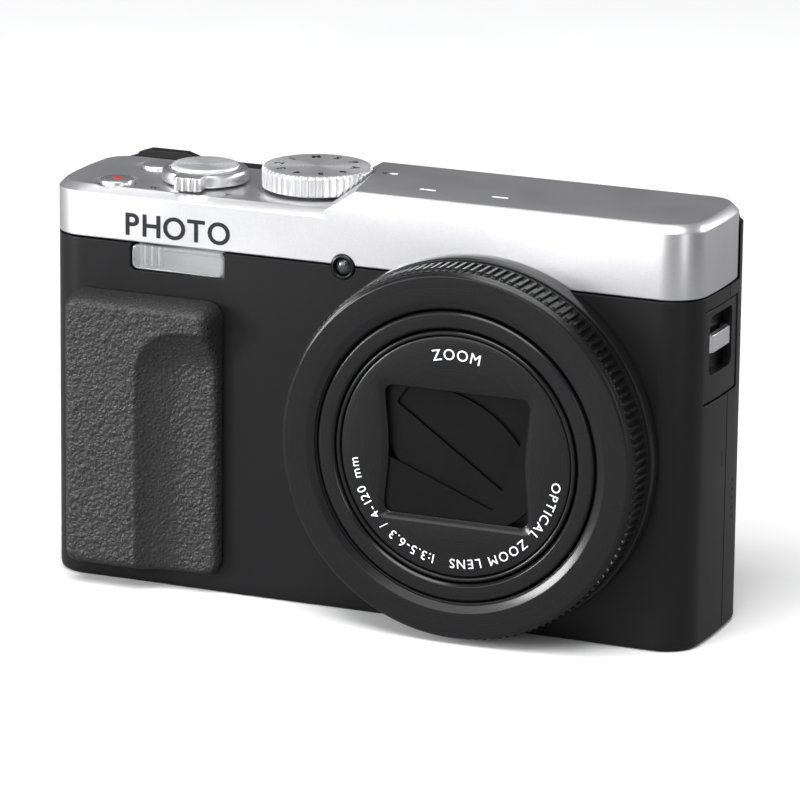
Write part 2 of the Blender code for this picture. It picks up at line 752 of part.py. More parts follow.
def make_viewfinder():
    edge = rounded(*EYECUP_X, *EYECUP_Z, 2.0, 4)
    lip = rounded(*spread(EYECUP_X, -0.8), *spread(EYECUP_Z, -0.7), 1.6, 4)
    cup = loft("eyecup", [(REAR_Y + GAP, edge), (19.8, edge), (20.8, lip)], "grip_rubber", "Y")
    hole = rounded(*spread(EYE_HOLE_X, 0.2), *spread(EYE_HOLE_Z, 0.1), 1.6, 4)
    cut(cup, prism("eye_hole", hole, 14, 24, "black_plastic", "Y"))
    pane = rounded(*spread(EYE_HOLE_X, -GAP), *spread(EYE_HOLE_Z, -GAP), 1.2, 3)
    prism("eyepiece_lens", pane, 13.6, 18.2, "clear", "Y")
    dial = disc("diopter_dial", 2.4, 15.6, 17.4, DIOPTER, "black_plastic", steps=24)
    pivot_at(dial, DIOPTER[0], 16, DIOPTER[1])


def make_rear_controls():
    profile = [(0, 11.2), (2.9, 11.2), (2.9, 11.9), (2.2, 11.9), (2.2, 16.0), (1.9, 16.3), (0, 16.3)]
    for name, spot in REAR_BUTTONS.items():
        button = lathe(name, profile, spot, "black_plastic", steps=16)
        pivot_at(button, spot[0], 13, spot[1])
    dial_profile = [(5.7, 15.6), (9.2, 15.6), (9.2, 16.6), (8.7, 17.0), (6.2, 17.0), (5.7, 16.6)]
    dial = lathe("rear_dial", dial_profile, PAD, "black_metal", steps=32)
    pivot_at(dial, PAD[0], 16, PAD[1])
    set_profile = [(0, 11.6), (2.1, 11.6), (2.1, 16.1), (5.4, 16.1), (5.4, 17.0), (5.0, 17.4), (0, 17.4)]
    centre = lathe("set_button", set_profile, PAD, "black_plastic", steps=24)
    pivot_at(centre, PAD[0], 16, PAD[1])


def make_thumb_rest():
    edge = rounded(*THUMB_X, *THUMB_Z, 2.5, 4)
    face = rounded(*spread(THUMB_X, -0.8), *spread(THUMB_Z, -0.8), 2.0, 4)
    loft("thumb_rest", [(REAR_Y + GAP, edge), (REAR_Y + 1.4, edge), (REAR_Y + 2.0, face)], "grip_rubber", "Y")


# Doors, battery and card


def make_base_door():
    hinge = (DOOR_PIVOT_X, DOOR_PIVOT_Z)
    z = (DOOR_PIVOT_Z - DOOR_HALF_THICK, DOOR_PIVOT_Z + DOOR_HALF_THICK)
    door = box("battery_door", (DOOR_X[0], DOOR_PIVOT_X), DOOR_Y, z)
    join(door, disc("barrel", DOOR_HALF_THICK, *DOOR_Y, hinge, "black_plastic", "Y", 16))
    cut(door, disc("pin_hole", 0.34, -12, 14, hinge, "steel", "Y", 12))
    cut(door, box("latch_slot", (-51.0, -43.4), (-1.8, 3.6), (-1, 0.75)))
    pivot_at(door, DOOR_PIVOT_X, 0, DOOR_PIVOT_Z)
    pin = disc("battery_door_pin", 0.28, *spread(DOOR_Y, -0.1), hinge, "steel", "Y", 12)
    pivot_at(pin, DOOR_PIVOT_X, 0, DOOR_PIVOT_Z)
    latch = box("battery_door_latch", (-50.7, -46.0), (-1.5, 3.3), (0.25, 0.6))
    pivot_at(latch, -48, 1, 0.4)


def make_port_door():
    door = prism("port_door", body_outline(0.1), *PORT_Z, "black_plastic")
    keep(door, box("slab", (-60, -54.4), PORT_Y, (0, 90)))
    pivot_at(door, *PORT_PIVOT, PORT_Z[0])


def make_power():
    prism("battery", rounded(*BATTERY_X, *BATTERY_Y, 1.0, 2), *BATTERY_Z, "cell")
    box("memory_card", CARD_X, CARD_Y, CARD_Z, "cell")


def build():
    clear_scene()
    make_front_shell()
    make_rear_shell()
    make_top_cover()
    make_chassis()
    make_tripod_socket()
    make_screws()
    make_side_trims()
    make_flash()
    make_focus_lamp()
    make_grip()
    make_lens_body()
    make_barrels()
    make_front_ring()
    make_glass()
    make_blades()
    make_zoom_drive()
    make_shutter()
    make_mode_dial()
    make_deck_buttons()
    make_monitor()
    make_viewfinder()
    make_rear_controls()
    make_thumb_rest()
    make_base_door()
    make_port_door()
    make_power()


build()
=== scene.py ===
"""The looks of a compact digital camera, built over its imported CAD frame.

The lens points along -Y and +Z is up. Numbers are in millimetres until a mesh is made.
"""

import json
import math

import bmesh
import bpy
from mathutils import Matrix, Vector, noise


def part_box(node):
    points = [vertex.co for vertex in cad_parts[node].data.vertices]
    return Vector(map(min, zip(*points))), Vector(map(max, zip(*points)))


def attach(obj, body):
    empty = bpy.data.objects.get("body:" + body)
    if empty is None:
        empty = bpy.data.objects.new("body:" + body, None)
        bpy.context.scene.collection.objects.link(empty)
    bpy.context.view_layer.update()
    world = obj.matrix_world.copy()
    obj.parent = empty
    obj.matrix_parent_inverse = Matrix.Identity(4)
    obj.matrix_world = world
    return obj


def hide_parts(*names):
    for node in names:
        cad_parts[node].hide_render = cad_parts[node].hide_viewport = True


MM = 0.001
noise.seed_set(1)  # Otherwise noise_vector() takes its seed from the clock
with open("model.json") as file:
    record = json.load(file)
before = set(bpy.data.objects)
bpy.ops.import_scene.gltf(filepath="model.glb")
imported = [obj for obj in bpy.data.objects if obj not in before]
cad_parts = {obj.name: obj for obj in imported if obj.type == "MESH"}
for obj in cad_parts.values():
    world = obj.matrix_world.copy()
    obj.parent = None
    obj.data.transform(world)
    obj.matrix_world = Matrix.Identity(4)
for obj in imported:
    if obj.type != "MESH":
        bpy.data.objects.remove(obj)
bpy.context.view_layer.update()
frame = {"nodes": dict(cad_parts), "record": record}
BEHAVIOUR = frame["record"]["behaviour"]
BODY_OF = {node: body for body, nodes in BEHAVIOUR["bodies"].items() for node in nodes}
SLOT_OF = {part["node"]: part["material_slot"] for part in frame["record"]["subparts"]}


def spans(node):
    """The x, y and z ranges of a CAD node."""
    low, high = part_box(node)
    return tuple(zip(low / MM, high / MM))


def middle(node):
    low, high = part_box(node)
    return (low / MM + high / MM) / 2


# Casing
(_, HALF_WIDTH), (FRONT_Y, _), _ = spans("front_shell")
REAR_Y = 15.3
SEAM_Z = 56.75
LOW_DECK_Z = 65.45
HIGH_DECK_Z = 68.8
FRONT_CORNER_R = 5.5
REAR_CORNER_R = 5.0
END_BOW = 0.8
WALL = 1.5
FLOOR = 2.0
PARTING_Y = 4.6
GAP = 0.3
COVER_REAR_Y = 13.1
REAR_TOP_Z = 65.4
REAR_INNER_Y = 12.9
BASE_CHAMFER = 1.0
DECK_BEVEL = 1.25
RAMP_WIDTH = 5.0
RAMP_FRONT = (-0.6, -16.0)
RAMP_SLOPE = -0.21
MICROPHONES = (7.9, 20.2)
TRIM_Y = (-5.2, 8.6)
TRIM_Z = (39.5, 54.2)
LUG_Y = (-3.4, 6.4)
LUG_WINDOW_Z = (43.6, 53.2)
FLASH_X = (-40.55, -24.45)
FLASH_Z = (52.5, 56.5)
LAMP = (-3.5, 56.6)
GRIP_X = (-50.8, -24.3)
GRIP_Z = (3.2, 48.6)
GRIP_DEPTH = 5.5
GRID_PITCH = 0.26
EYE_HOLE_X = (35.8, 48.2)
EYE_HOLE_Z = (58.0, 64.2)
DOOR_X = (-52.4, -26.0)
DOOR_Y = (-7.8, 9.6)
PORT_Y = (-5.4, 3.9)
PORT_Z = (11.0, 38.0)
SCREWS = [middle(f"base_screw_{number}").xy for number in (1, 2)]
SOCKET = middle("tripod_socket").xy
REAR_BUTTONS = [
    f"{use}_button" for use in ("viewfinder_switch", "quick_menu", "playback", "delete", "display")
]

# Lens
LENS = middle("control_ring").xz
LENS_X, LENS_Z = LENS
TUBE_R = 26.4
RIDGES = 140
DISC_Y = -20.2
WINDOW = (12.2, 10.3)
WINDOW_WAIST = 0.7
WINDOW_CORNER = 1.2
ON_EDGE = 1e-9  # lathe() takes a radius of 0 as a point on the axis
FINE = 192

# Controls
DIAL = middle("mode_dial").xy
SHUTTER = middle("shutter_button").xy
RECORD = middle("record_button").xy
POWER = middle("power_button").xy
PAD = middle("rear_dial").xz
DIOPTER = middle("diopter_dial").xz
FLUTES = 48
DECK_MARK_Z = (HIGH_DECK_Z - 0.05, HIGH_DECK_Z + 0.02)
BUTTON_MARK_Y = (16.25, 16.34)

# Camera
EYE = (346.2, -806.3, 267.6)
EYE_RIGHT = (0.9185, 0.3952, 0.0106)
EYE_UP = (-0.1117, 0.2335, 0.9659)
FOCAL_MM = 254.6

# Lights, in metres
AIM = (0, 0, 0.035)


# Materials


class Nodes:
    """The shader nodes of one tree. An input takes a plain value or another node's output."""

    def __init__(self, tree):
        self.tree = tree

    def join(self, value, socket):
        if isinstance(value, bpy.types.NodeSocket):
            self.tree.links.new(value, socket)
        else:
            socket.default_value = value

    def add(self, kind, inputs=None, **settings):
        node = self.tree.nodes.new("ShaderNode" + kind)
        for key, value in settings.items():
            setattr(node, key, value)
        for key, value in (inputs or {}).items():
            self.join(value, node.inputs[key])
        return node

    def mix(self, value, first, second):
        colours = [(*c, 1.0) if isinstance(c, tuple) else c for c in (first, second)]
        return self.add("MixRGB", {"Fac": value, "Color1": colours[0], "Color2": colours[1]}).outputs[0]


class Look(Nodes):
    """A Principled material whose patterns are measured in millimetres of object space."""

    def __init__(self, name, **inputs):
        self.material = bpy.data.materials.new(name)
        self.material.use_nodes = True
        super().__init__(self.material.node_tree)
        self.shader = self.tree.nodes["Principled BSDF"]
        for key, value in inputs.items():
            self.shader.inputs[key.replace("_", " ")].default_value = value
        place = self.add("TexCoord").outputs["Object"]
        self.mm = self.add("VectorMath", {0: place, "Scale": 1 / MM}, operation="SCALE").outputs[0]

    def set(self, key, value):
        self.join(value, self.shader.inputs[key])

    def noise(self, size, detail=2.0, stretch=None):
        """Noise whose lumps are about size millimetres across."""
        vector = self.mm
        if stretch:
            vector = self.add("VectorMath", {0: self.mm, 1: stretch}, operation="MULTIPLY").outputs[0]
        return self.add("TexNoise", {"Vector": vector, "Scale": 1 / size, "Detail": detail}).outputs[0]

    def creases(self, size, width):
        """0 along the edges of random cells about size millimetres across, rising to 1 inside them."""
        inputs = {"Vector": self.mm, "Scale": 1 / size}
        away = self.add("TexVoronoi", inputs, feature="DISTANCE_TO_EDGE").outputs["Distance"]
        return self.add("MapRange", {"Value": away, "From Max": width}).outputs[0]

    def rings(self, centre, pitch):
        """Fine turned lines round the Z or Y axis through centre, where None marks the axis."""
        flat = [0.0 if value is None else 1.0 for value in centre]
        origin = [0.0 if value is None else value for value in centre]
        away = self.add("VectorMath", {0: self.mm, 1: origin}, operation="SUBTRACT").outputs[0]
        away = self.add("VectorMath", {0: away, 1: flat}, operation="MULTIPLY").outputs[0]
        radius = self.add("VectorMath", {0: away}, operation="LENGTH").outputs["Value"]
        inputs = {"W": radius, "Scale": 1 / pitch, "Detail": 3.0}
        return self.add("TexNoise", inputs, noise_dimensions="1D").outputs[0]

    def span(self, value, low, high):
        inputs = {"Value": value, "From Min": 0.25, "From Max": 0.75, "To Min": low, "To Max": high}
        return self.add("MapRange", inputs).outputs[0]

    def coat(self, tint, dark, light, gloss, rough):
        """A colour between two by one pattern, and a roughness between two by another."""
        self.set("Base Color", self.mix(self.span(tint, 0.0, 1.0), dark, light))
        self.set("Roughness", self.span(gloss, *rough))

    def edge(self, radius):
        """Normals that round every edge by a small radius."""
        return self.add("Bevel", {"Radius": radius * MM}, samples=4).outputs[0]

    def bump(self, height, depth, normal):
        inputs = {"Height": height, "Distance": depth * MM, "Normal": normal}
        return self.add("Bump", inputs).outputs[0]


def moulded(name, dark, light, rough, grain, depth, edge=0.2, **inputs):
    """Plastic, rubber or blasted metal with a fine random grain."""
    look = Look(name, **inputs)
    look.coat(look.noise(grain * 2, 3.0), dark, light, look.noise(14.0), rough)
    look.set("Normal", look.bump(look.noise(grain, 3.0), depth, look.edge(edge)))
    return look.material


def turned(name, dark, light, rough, centre, pitch, depth, axis, **inputs):
    """Metal or plastic with the fine circular lines that a lathe leaves."""
    look = Look(name, **inputs)
    lines = look.rings(centre, pitch)
    look.coat(lines, dark, light, lines, rough)
    look.set("Normal", look.bump(lines, depth, look.edge(0.12)))
    look.set("Tangent", look.add("Tangent", direction_type="RADIAL", axis=axis).outputs[0])
    return look.material


def brushed(name, dark, light, rough, stretch, **inputs):
    look = Look(name, **inputs)
    lines = look.noise(0.4, 4.0, stretch)
    look.coat(lines, dark, light, lines, rough)
    look.set("Normal", look.bump(lines, 0.01, look.edge(0.15)))
    return look.material


def leather(name):
    """Grained leatherette: pebbles parted by creases, with finer wrinkles over them."""
    look = Look(name, Specular_IOR_Level=0.38)
    dark, light = (0.012, 0.012, 0.0124), (0.02, 0.02, 0.0207)
    look.coat(look.noise(0.6, 3.0), dark, light, look.noise(0.7, 3.0), (0.42, 0.6))
    grain = look.bump(look.noise(0.3, 4.0), 0.05, look.edge(0.15))
    look.set("Normal", look.bump(look.creases(0.75, 0.4), 0.1, grain))
    return look.material


def clear(name, tint, gloss, grain, milk=0.0):
    """Glass or clear plastic: seen through, reflecting more at grazing angles, with some milk in it."""
    look = Look(name)
    haze = look.span(look.noise(grain), 0.02, 0.07)
    through = look.add("BsdfTransparent", {"Color": (*tint, 1.0)}).outputs[0]
    shine = look.add("BsdfGlossy", {"Color": (*gloss, 1.0), "Roughness": haze}).outputs[0]
    share = look.add("Fresnel", {"IOR": 1.6, "Normal": look.edge(0.2)}).outputs[0]
    cloud = look.add("BsdfDiffuse", {"Color": (0.9, 0.92, 0.92, 1.0)}).outputs[0]
    inner = look.add("MixShader", {0: milk, 1: through, 2: cloud}).outputs[0]
    mixed = look.add("MixShader", {0: share, 1: inner, 2: shine}).outputs[0]
    look.join(mixed, look.tree.nodes["Material Output"].inputs["Surface"])
    return look.material


def circuit(name):
    look = Look(name, Roughness=0.4)
    traces = look.creases(2.4, 0.08)
    look.set("Base Color", look.mix(traces, (0.25, 0.3, 0.08), (0.01, 0.09, 0.04)))
    look.set("Normal", look.bump(traces, -0.05, look.edge(0.1)))
    return look.material


def picture():
    """The dark picture area behind the monitor's glass."""
    look = Look("screen_picture")
    look.set("Base Color", look.mix(look.noise(9.0), (0.005, 0.006, 0.009), (0.009, 0.01, 0.014)))
    look.set("Roughness", look.span(look.noise(5.0), 0.08, 0.14))
    return look.material


DARK_METAL = {"Specular_IOR_Level": 0.28, "Anisotropic": 0.35}
LENS_CENTRE = (LENS_X, None, LENS_Z)
LOOKS = {
    "black_plastic": moulded(
        "satin_black", (0.006, 0.006, 0.0065), (0.009, 0.0088, 0.0095), (0.3, 0.37), 0.12, 0.003, 0.3,
        Specular_IOR_Level=0.22,
    ),
    "silver_cover": moulded(
        "blasted_silver", (0.58, 0.58, 0.592), (0.65, 0.65, 0.662), (0.36, 0.42), 0.09, 0.004, 0.18,
        Metallic=0.92,
    ),
    "satin_metal": moulded(
        "satin_silver", (0.74, 0.74, 0.75), (0.82, 0.82, 0.83), (0.26, 0.34), 0.1, 0.003, 0.15, Metallic=0.95
    ),
    "steel": brushed(
        "brushed_steel", (0.45, 0.45, 0.46), (0.6, 0.6, 0.61), (0.25, 0.4), (1, 1, 12), Metallic=1.0
    ),
    "bright_metal": moulded(
        "polished_reflector", (0.9, 0.9, 0.9), (0.95, 0.95, 0.95), (0.2, 0.3), 0.8, 0.01, 0.1, Metallic=0.25
    ),
    "board": circuit("solder_mask"),
    "dark_glass": moulded(
        "dark_glass", (0.004, 0.004, 0.006), (0.006, 0.006, 0.009), (0.04, 0.07), 3.0, 0.001, 0.15,
        Specular_IOR_Level=0.7,
    ),
    "lens_glass": clear("coated_glass", (0.62, 0.7, 0.78), (0.62, 0.5, 0.9), 6.0),
    "clear_plastic": clear("clear_plastic", (0.96, 0.98, 0.98), (1.0, 1.0, 1.0), 2.0, 0.14),
    "grip_leather": leather("leatherette"),
    "soft_rubber": moulded(
        "soft_rubber", (0.014, 0.014, 0.014), (0.02, 0.02, 0.021), (0.6, 0.75), 0.15, 0.02, 0.3,
        Sheen_Weight=0.1,
    ),
    "black_metal": turned(
        "black_anodised", (0.006, 0.006, 0.0065), (0.01, 0.01, 0.0105), (0.16, 0.23), LENS_CENTRE,
        0.1, 0.0012, "Y", **DARK_METAL,
    ),
    "battery_case": moulded("battery_case", (0.05, 0.055, 0.07), (0.07, 0.08, 0.1), (0.4, 0.55), 0.3, 0.02),
    "brass": brushed("brass", (0.62, 0.45, 0.18), (0.75, 0.58, 0.28), (0.25, 0.4), (1, 10, 1), Metallic=1.0),
}
WHITE_INK = moulded("white_ink", (0.8, 0.8, 0.8), (0.88, 0.88, 0.88), (0.45, 0.6), 0.1, 0.003, 0.03)
# Dark print, and also the painted shade of the small holes and the slot on the lens side.
DARK_INK_AND_HOLE_SHADE = moulded(
    "dark_ink_and_hole_shade", (0.012, 0.012, 0.013), (0.02, 0.02, 0.022), (0.4, 0.5), 0.1, 0.003, 0.02,
    Specular_IOR_Level=0.15,
)
RED_INK = moulded("red_ink", (0.5, 0.012, 0.01), (0.6, 0.02, 0.015), (0.35, 0.45), 0.1, 0.003, 0.05)
SCREEN_LOOK = picture()
BLADE_LOOK = moulded(
    "barrier_black", (0.0035, 0.0035, 0.0038), (0.005, 0.005, 0.0055), (0.3, 0.38), 0.2, 0.002, 0.04,
    Specular_IOR_Level=0.13,
)
LAMP_GLASS = moulded(
    "lamp_glass", (0.012, 0.014, 0.015), (0.03, 0.034, 0.036), (0.06, 0.14), 0.9, 0.02, 0.1, Coat_Weight=0.8
)


# Meshes


def make(name, points, faces, angle=32):
    """One closed smooth-shaded mesh from points in millimetres."""
    shape = bmesh.new()
    corners = [shape.verts.new(Vector(point) * MM) for point in points]
    for face in faces:
        shape.faces.new([corners[index] for index in face])
    bmesh.ops.recalc_face_normals(shape, faces=shape.faces)
    mesh = bpy.data.meshes.new(name)
    shape.to_mesh(mesh)
    shape.free()
    return wrap(name, mesh, angle)


def wrap(name, mesh, angle=32):
    mesh.shade_smooth()
    mesh.set_sharp_from_angle(angle=math.radians(angle))
    return put(name, mesh)


def put(name, data):
    item = bpy.data.objects.new(name, data)
    bpy.context.scene.collection.objects.link(item)
    return item


def evaluated(item):
    graph = bpy.context.evaluated_depsgraph_get()
    return bpy.data.meshes.new_from_object(item.evaluated_get(graph))


def place(axis, a, b, height):
    """A point of a plan drawn across an axis: (x, y) for Z, (x, z) for Y, (y, z) for X."""
    if axis == "Z":
        return (a, b, height)
    if axis == "Y":
        return (a, height, b)
    return (height, a, b)


def loft(name, sections, axis="Z"):
    """A solid through (height, outline) sections whose outlines have equal counts."""
    count = len(sections[0][1])
    points = [place(axis, a, b, height) for height, outline in sections for a, b in outline]
    faces = [list(range(count)), [len(points) - count + i for i in range(count)]]
    for level in range(len(sections) - 1):
        low = level * count
        for i in range(count):
            j = (i + 1) % count
            faces.append([low + i, low + j, low + count + j, low + count + i])
    return make(name, points, faces)


def prism(name, outline, low, high, axis="Z"):
    return loft(name, [(low, outline), (high, outline)], axis)


def box(name, x, y, z):
    return prism(name, [(x[0], y[0]), (x[1], y[0]), (x[1], y[1]), (x[0], y[1])], *z)


def soft(name, outline, low, high, low_r, high_r, axis="Z", steps=5):
    """A prism with rounded rims. outline(inset) gives its plan pulled in by inset."""
    curve = []
    for k in range(steps + 1):
        turn = math.pi / 2 * k / steps
        curve.append((1 - math.sin(turn), 1 - math.cos(turn)))
    sections = [(low + low_r * drop, outline(low_r * inset)) for drop, inset in reversed(curve)]
    sections += [(high - high_r * drop, outline(high_r * inset)) for drop, inset in curve]
    return loft(name, sections, axis)


def lathe(name, profile, centre, axis="Y", steps=FINE, ripple=None, angle=32):
    """A closed profile of (radius, height) turned round an axis. ripple() changes the radii."""
    points = []
    rings = []
    for radius, height in profile:
        turns = 1 if radius == 0 else steps
        rings.append([len(points) + i % turns for i in range(steps)])
        for i in range(turns):
            share = i / steps
            reach = ripple(share, radius, height) if ripple and radius else radius
            turn = 2 * math.pi * share
            a = centre[0] + reach * math.cos(turn)
            points.append(place(axis, a, centre[1] + reach * math.sin(turn), height))
    faces = []
    for k, ring in enumerate(rings):
        other = rings[(k + 1) % len(rings)]
        for i in range(steps):
            j = (i + 1) % steps
            face = list(dict.fromkeys([ring[i], ring[j], other[j], other[i]]))
            if len(face) > 2:
                faces.append(face)
    return make(name, points, faces, angle)


def disc(name, radius, low, high, centre, axis="Y", steps=64):
    return lathe(name, [(0, low), (radius, low), (radius, high), (0, high)], centre, axis, steps)


def eased(points, radius, steps=3):
    """A closed profile with its corners rounded, apart from those on the axis."""
    rounded_points = []
    for k, corner in enumerate(points):
        if corner[0] == 0:
            rounded_points.append(corner)
            continue
        here = Vector(corner)
        before = Vector(points[k - 1]) - here
        after = Vector(points[(k + 1) % len(points)]) - here
        start = before.normalized() * min(radius, before.length * 0.45)
        end = after.normalized() * min(radius, after.length * 0.45)
        for i in range(steps + 1):
            t = i / steps
            rounded_points.append(tuple(here + start * (1 - t) ** 2 + end * t ** 2))
    return rounded_points


def combine(piece, tool, operation, solver):
    step = piece.modifiers.new(operation.lower(), "BOOLEAN")
    step.operation = operation
    step.solver = solver
    step.object = tool
    result = evaluated(piece)
    piece.modifiers.clear()
    piece.data = result


def open_edges(piece):
    shape = bmesh.new()
    shape.from_mesh(piece.data)
    count = sum(1 for edge in shape.edges if len(edge.link_faces) != 2)
    shape.free()
    return count


def merge(piece, operation, tools):
    """Boolean steps one by one. Where one solver leaves open edges, the other is used."""
    for tool in tools:
        before = piece.data.copy()
        combine(piece, tool, operation, "EXACT")
        if open_edges(piece):
            piece.data = before
            combine(piece, tool, operation, "MANIFOLD")
        bpy.data.objects.remove(tool, do_unlink=True)
    piece.data.shade_smooth()
    piece.data.set_sharp_from_angle(angle=math.radians(25))
    return piece


def cut(piece, *tools):
    return merge(piece, "DIFFERENCE", tools)


def unite(piece, *tools):
    return merge(piece, "UNION", tools)


def wear(piece, look):
    piece.data.materials.clear()
    piece.data.materials.append(look)


def belongs(piece, node, look=None):
    """A detail that rides with a CAD node and takes its finish, unless it has its own."""
    wear(piece, look or LOOKS[SLOT_OF[node]])
    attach(piece, BODY_OF[node])
    return piece


def stands_for(piece, node, look=None):
    belongs(piece, node, look)
    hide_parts(node)


def stand_in(node, build, *shape, look=None, **settings):
    """A piece made by lathe, soft, pad or prism that is drawn in place of a CAD node."""
    stands_for(build(f"{node}_fine", *shape, **settings), node, look)


# Outlines


def arc(x, y, radius, start, end, steps=12):
    turns = [math.radians(start + (end - start) * i / steps) for i in range(steps + 1)]
    return [(x + radius * math.cos(t), y + radius * math.sin(t)) for t in turns]


def rounded(low_a, high_a, low_b, high_b, radius, steps=8):
    a, b = spread((low_a, high_a), -radius), spread((low_b, high_b), -radius)
    outline = []
    for k, (x, y) in enumerate(((a[1], b[0]), (a[1], b[1]), (a[0], b[1]), (a[0], b[0]))):
        outline += arc(x, y, radius, 90 * k - 90, 90 * k, steps)
    return outline


def spread(span, by):
    return (span[0] - by, span[1] + by)


def panel(a, b, radius, steps=8):
    """The outline(inset) function of a rounded rectangle, for soft()."""
    return lambda inset: rounded(*spread(a, -inset), *spread(b, -inset), max(radius - inset, 0.05), steps)


def bowed(point, front, rear):
    x, y = point
    share = (y - (front + rear) / 2) / ((rear - front) / 2)
    return (x + math.copysign(END_BOW * (1 - share * share), x), y)


def body_outline(inset=0.0, rear=REAR_Y):
    """Plan of the casing: flat front and back, rounded corners and gently bowed ends."""
    x = HALF_WIDTH - END_BOW - inset
    front = FRONT_Y + inset
    back = rear - inset
    near = FRONT_CORNER_R - inset
    far = REAR_CORNER_R - inset
    side = [(x, front + near + (back - far - front - near) * t / 8) for t in range(1, 8)]
    half = arc(x - near, front + near, near, -90, 0) + side + arc(x - far, back - far, far, 0, 90)
    outline = half + [(-a, b) for a, b in reversed(half)]
    return [bowed(point, front, back) for point in outline]


def cover_outline(inset=0.0):
    return body_outline(inset, COVER_REAR_Y)


# Casing


def lens_hole():
    return disc("lens_hole", TUBE_R + 0.5, -14, -5, LENS, steps=128)


def lamp_hole():
    return disc("lamp_hole", 2.1, -14, -5, LAMP)


def viewfinder_hole():
    return prism("viewfinder_hole", rounded(*EYE_HOLE_X, *EYE_HOLE_Z, 1.0), 9, 20, "Y")


def casing_solid(name, top):
    sections = []
    for turn in (0, 0.5, 1.05, 1.57):
        inset = BASE_CHAMFER * (1 - math.sin(turn))
        sections.append((BASE_CHAMFER * (1 - math.cos(turn)), body_outline(inset)))
    sections.append((top, body_outline()))
    solid = loft(name, sections)
    return cut(solid, prism("hollow", body_outline(WALL, REAR_INNER_Y + WALL), FLOOR, 90))


def cut_openings(shell):
    """Openings shared by both halves of the casing: doors, side trims and base screws."""
    cut(shell, box("base_door_hole", spread(DOOR_X, GAP), spread(DOOR_Y, GAP), (-1, FLOOR + 1)))
    for side in (-1, 1):
        x = sorted((side * (HALF_WIDTH - 2.3), side * 60))
        cut(shell, box("trim_hole", x, spread(TRIM_Y, GAP), spread(TRIM_Z, GAP)))
    cut(shell, box("port_hole", (-60, -53), spread(PORT_Y, GAP), spread(PORT_Z, GAP)))
    for spot in SCREWS:
        cut(shell, disc("screw_hole", 1.15, -1, 4, spot, "Z", 32))
        cut(shell, disc("head_hole", 2.0, -1, 1.4, spot, "Z", 48))
    cut(shell, disc("socket_hole", 5.3, -1, 4, SOCKET, "Z"))


def make_front_shell():
    shell = casing_solid("front_shell_fine", SEAM_Z - 0.15)
    cut(shell, box("rear_half", (-60, 60), (PARTING_Y - GAP / 2, 20), (-1, 90)))
    flash = prism("flash_hole", rounded(*spread(FLASH_X, 0.3), *spread(FLASH_Z, 0.3), 1.0), -14, -5, "Y")
    cut(shell, lens_hole(), flash, lamp_hole())
    cut_openings(shell)
    stands_for(shell, "front_shell")


def make_rear_shell():
    shell = casing_solid("rear_shell_fine", REAR_TOP_Z)
    cut(shell, box("front_half", (-60, 60), (-20, PARTING_Y + GAP / 2), (-1, 90)))
    cut(shell, prism("cover_space", cover_outline(-0.25), SEAM_Z - 0.15, 90))
    low, high = COVER_REAR_Y + 0.35, REAR_Y - 0.05
    strip = [(2.0, REAR_TOP_Z - 1), (50.0, REAR_TOP_Z - 1), (50.0, 67.3), (5.0, 67.3)]
    hump = [(-51.5, REAR_TOP_Z - 1), (-40.0, REAR_TOP_Z - 1), (-40.0, 65.6), (-42.2, 66.3)]
    hump += [(-42.6, 66.4), (-49.0, 66.4), (-49.4, 66.3), (-51.5, 65.6)]
    unite(shell, prism("strip", strip, low, high, "Y"), prism("hump", hump, low, high, "Y"))
    cut(shell, prism("corner_slope", [(-60, 62.4), (-51.0, 65.41), (-51.0, 70), (-60, 70)], 0, 20, "Y"))
    x, _, z = spans("monitor_arm")
    cut(shell, box("arm_recess", spread(x, 0.7), (14.1, 20), (z[0] - 0.8, 90)), viewfinder_hole())
    for node in REAR_BUTTONS:
        cut(shell, disc("button_hole", 2.45, 10, 20, middle(node).xz))
    cut(shell, disc("pad_hole", 2.4, 10, 20, PAD))
    cut_openings(shell)
    stands_for(shell, "rear_shell")


def deck_block(name, top, grow):
    """The cover's whole plan up to one deck height, with a bevelled top rim."""
    rim = top - DECK_BEVEL - grow
    steps = (
        (SEAM_Z + 0.15, 0.12 - grow), (SEAM_Z + 0.3, -grow), (rim - 0.12, -grow), (rim + 0.05, 0.06 - grow),
        (top - 0.07, DECK_BEVEL - 0.1), (top, DECK_BEVEL + 0.08),
    )
    return loft(name, [(height, cover_outline(inset)) for height, inset in steps])


def low_side():
    """Everything over the low deck: its edge runs back from the ramp past the mode dial."""
    top_front, front = RAMP_FRONT
    rear = 18.0
    low, high = LOW_DECK_Z, 80.0
    run = RAMP_WIDTH / (HIGH_DECK_Z - low) * (high - low)
    sections = []
    for y in (front, rear):
        foot = top_front - RAMP_WIDTH + RAMP_SLOPE * (y - front)
        sections.append((y, [(-70, 40), (foot, 40), (foot, low), (foot + run, high), (-70, high)]))
    return loft("low_side", sections, "Y")


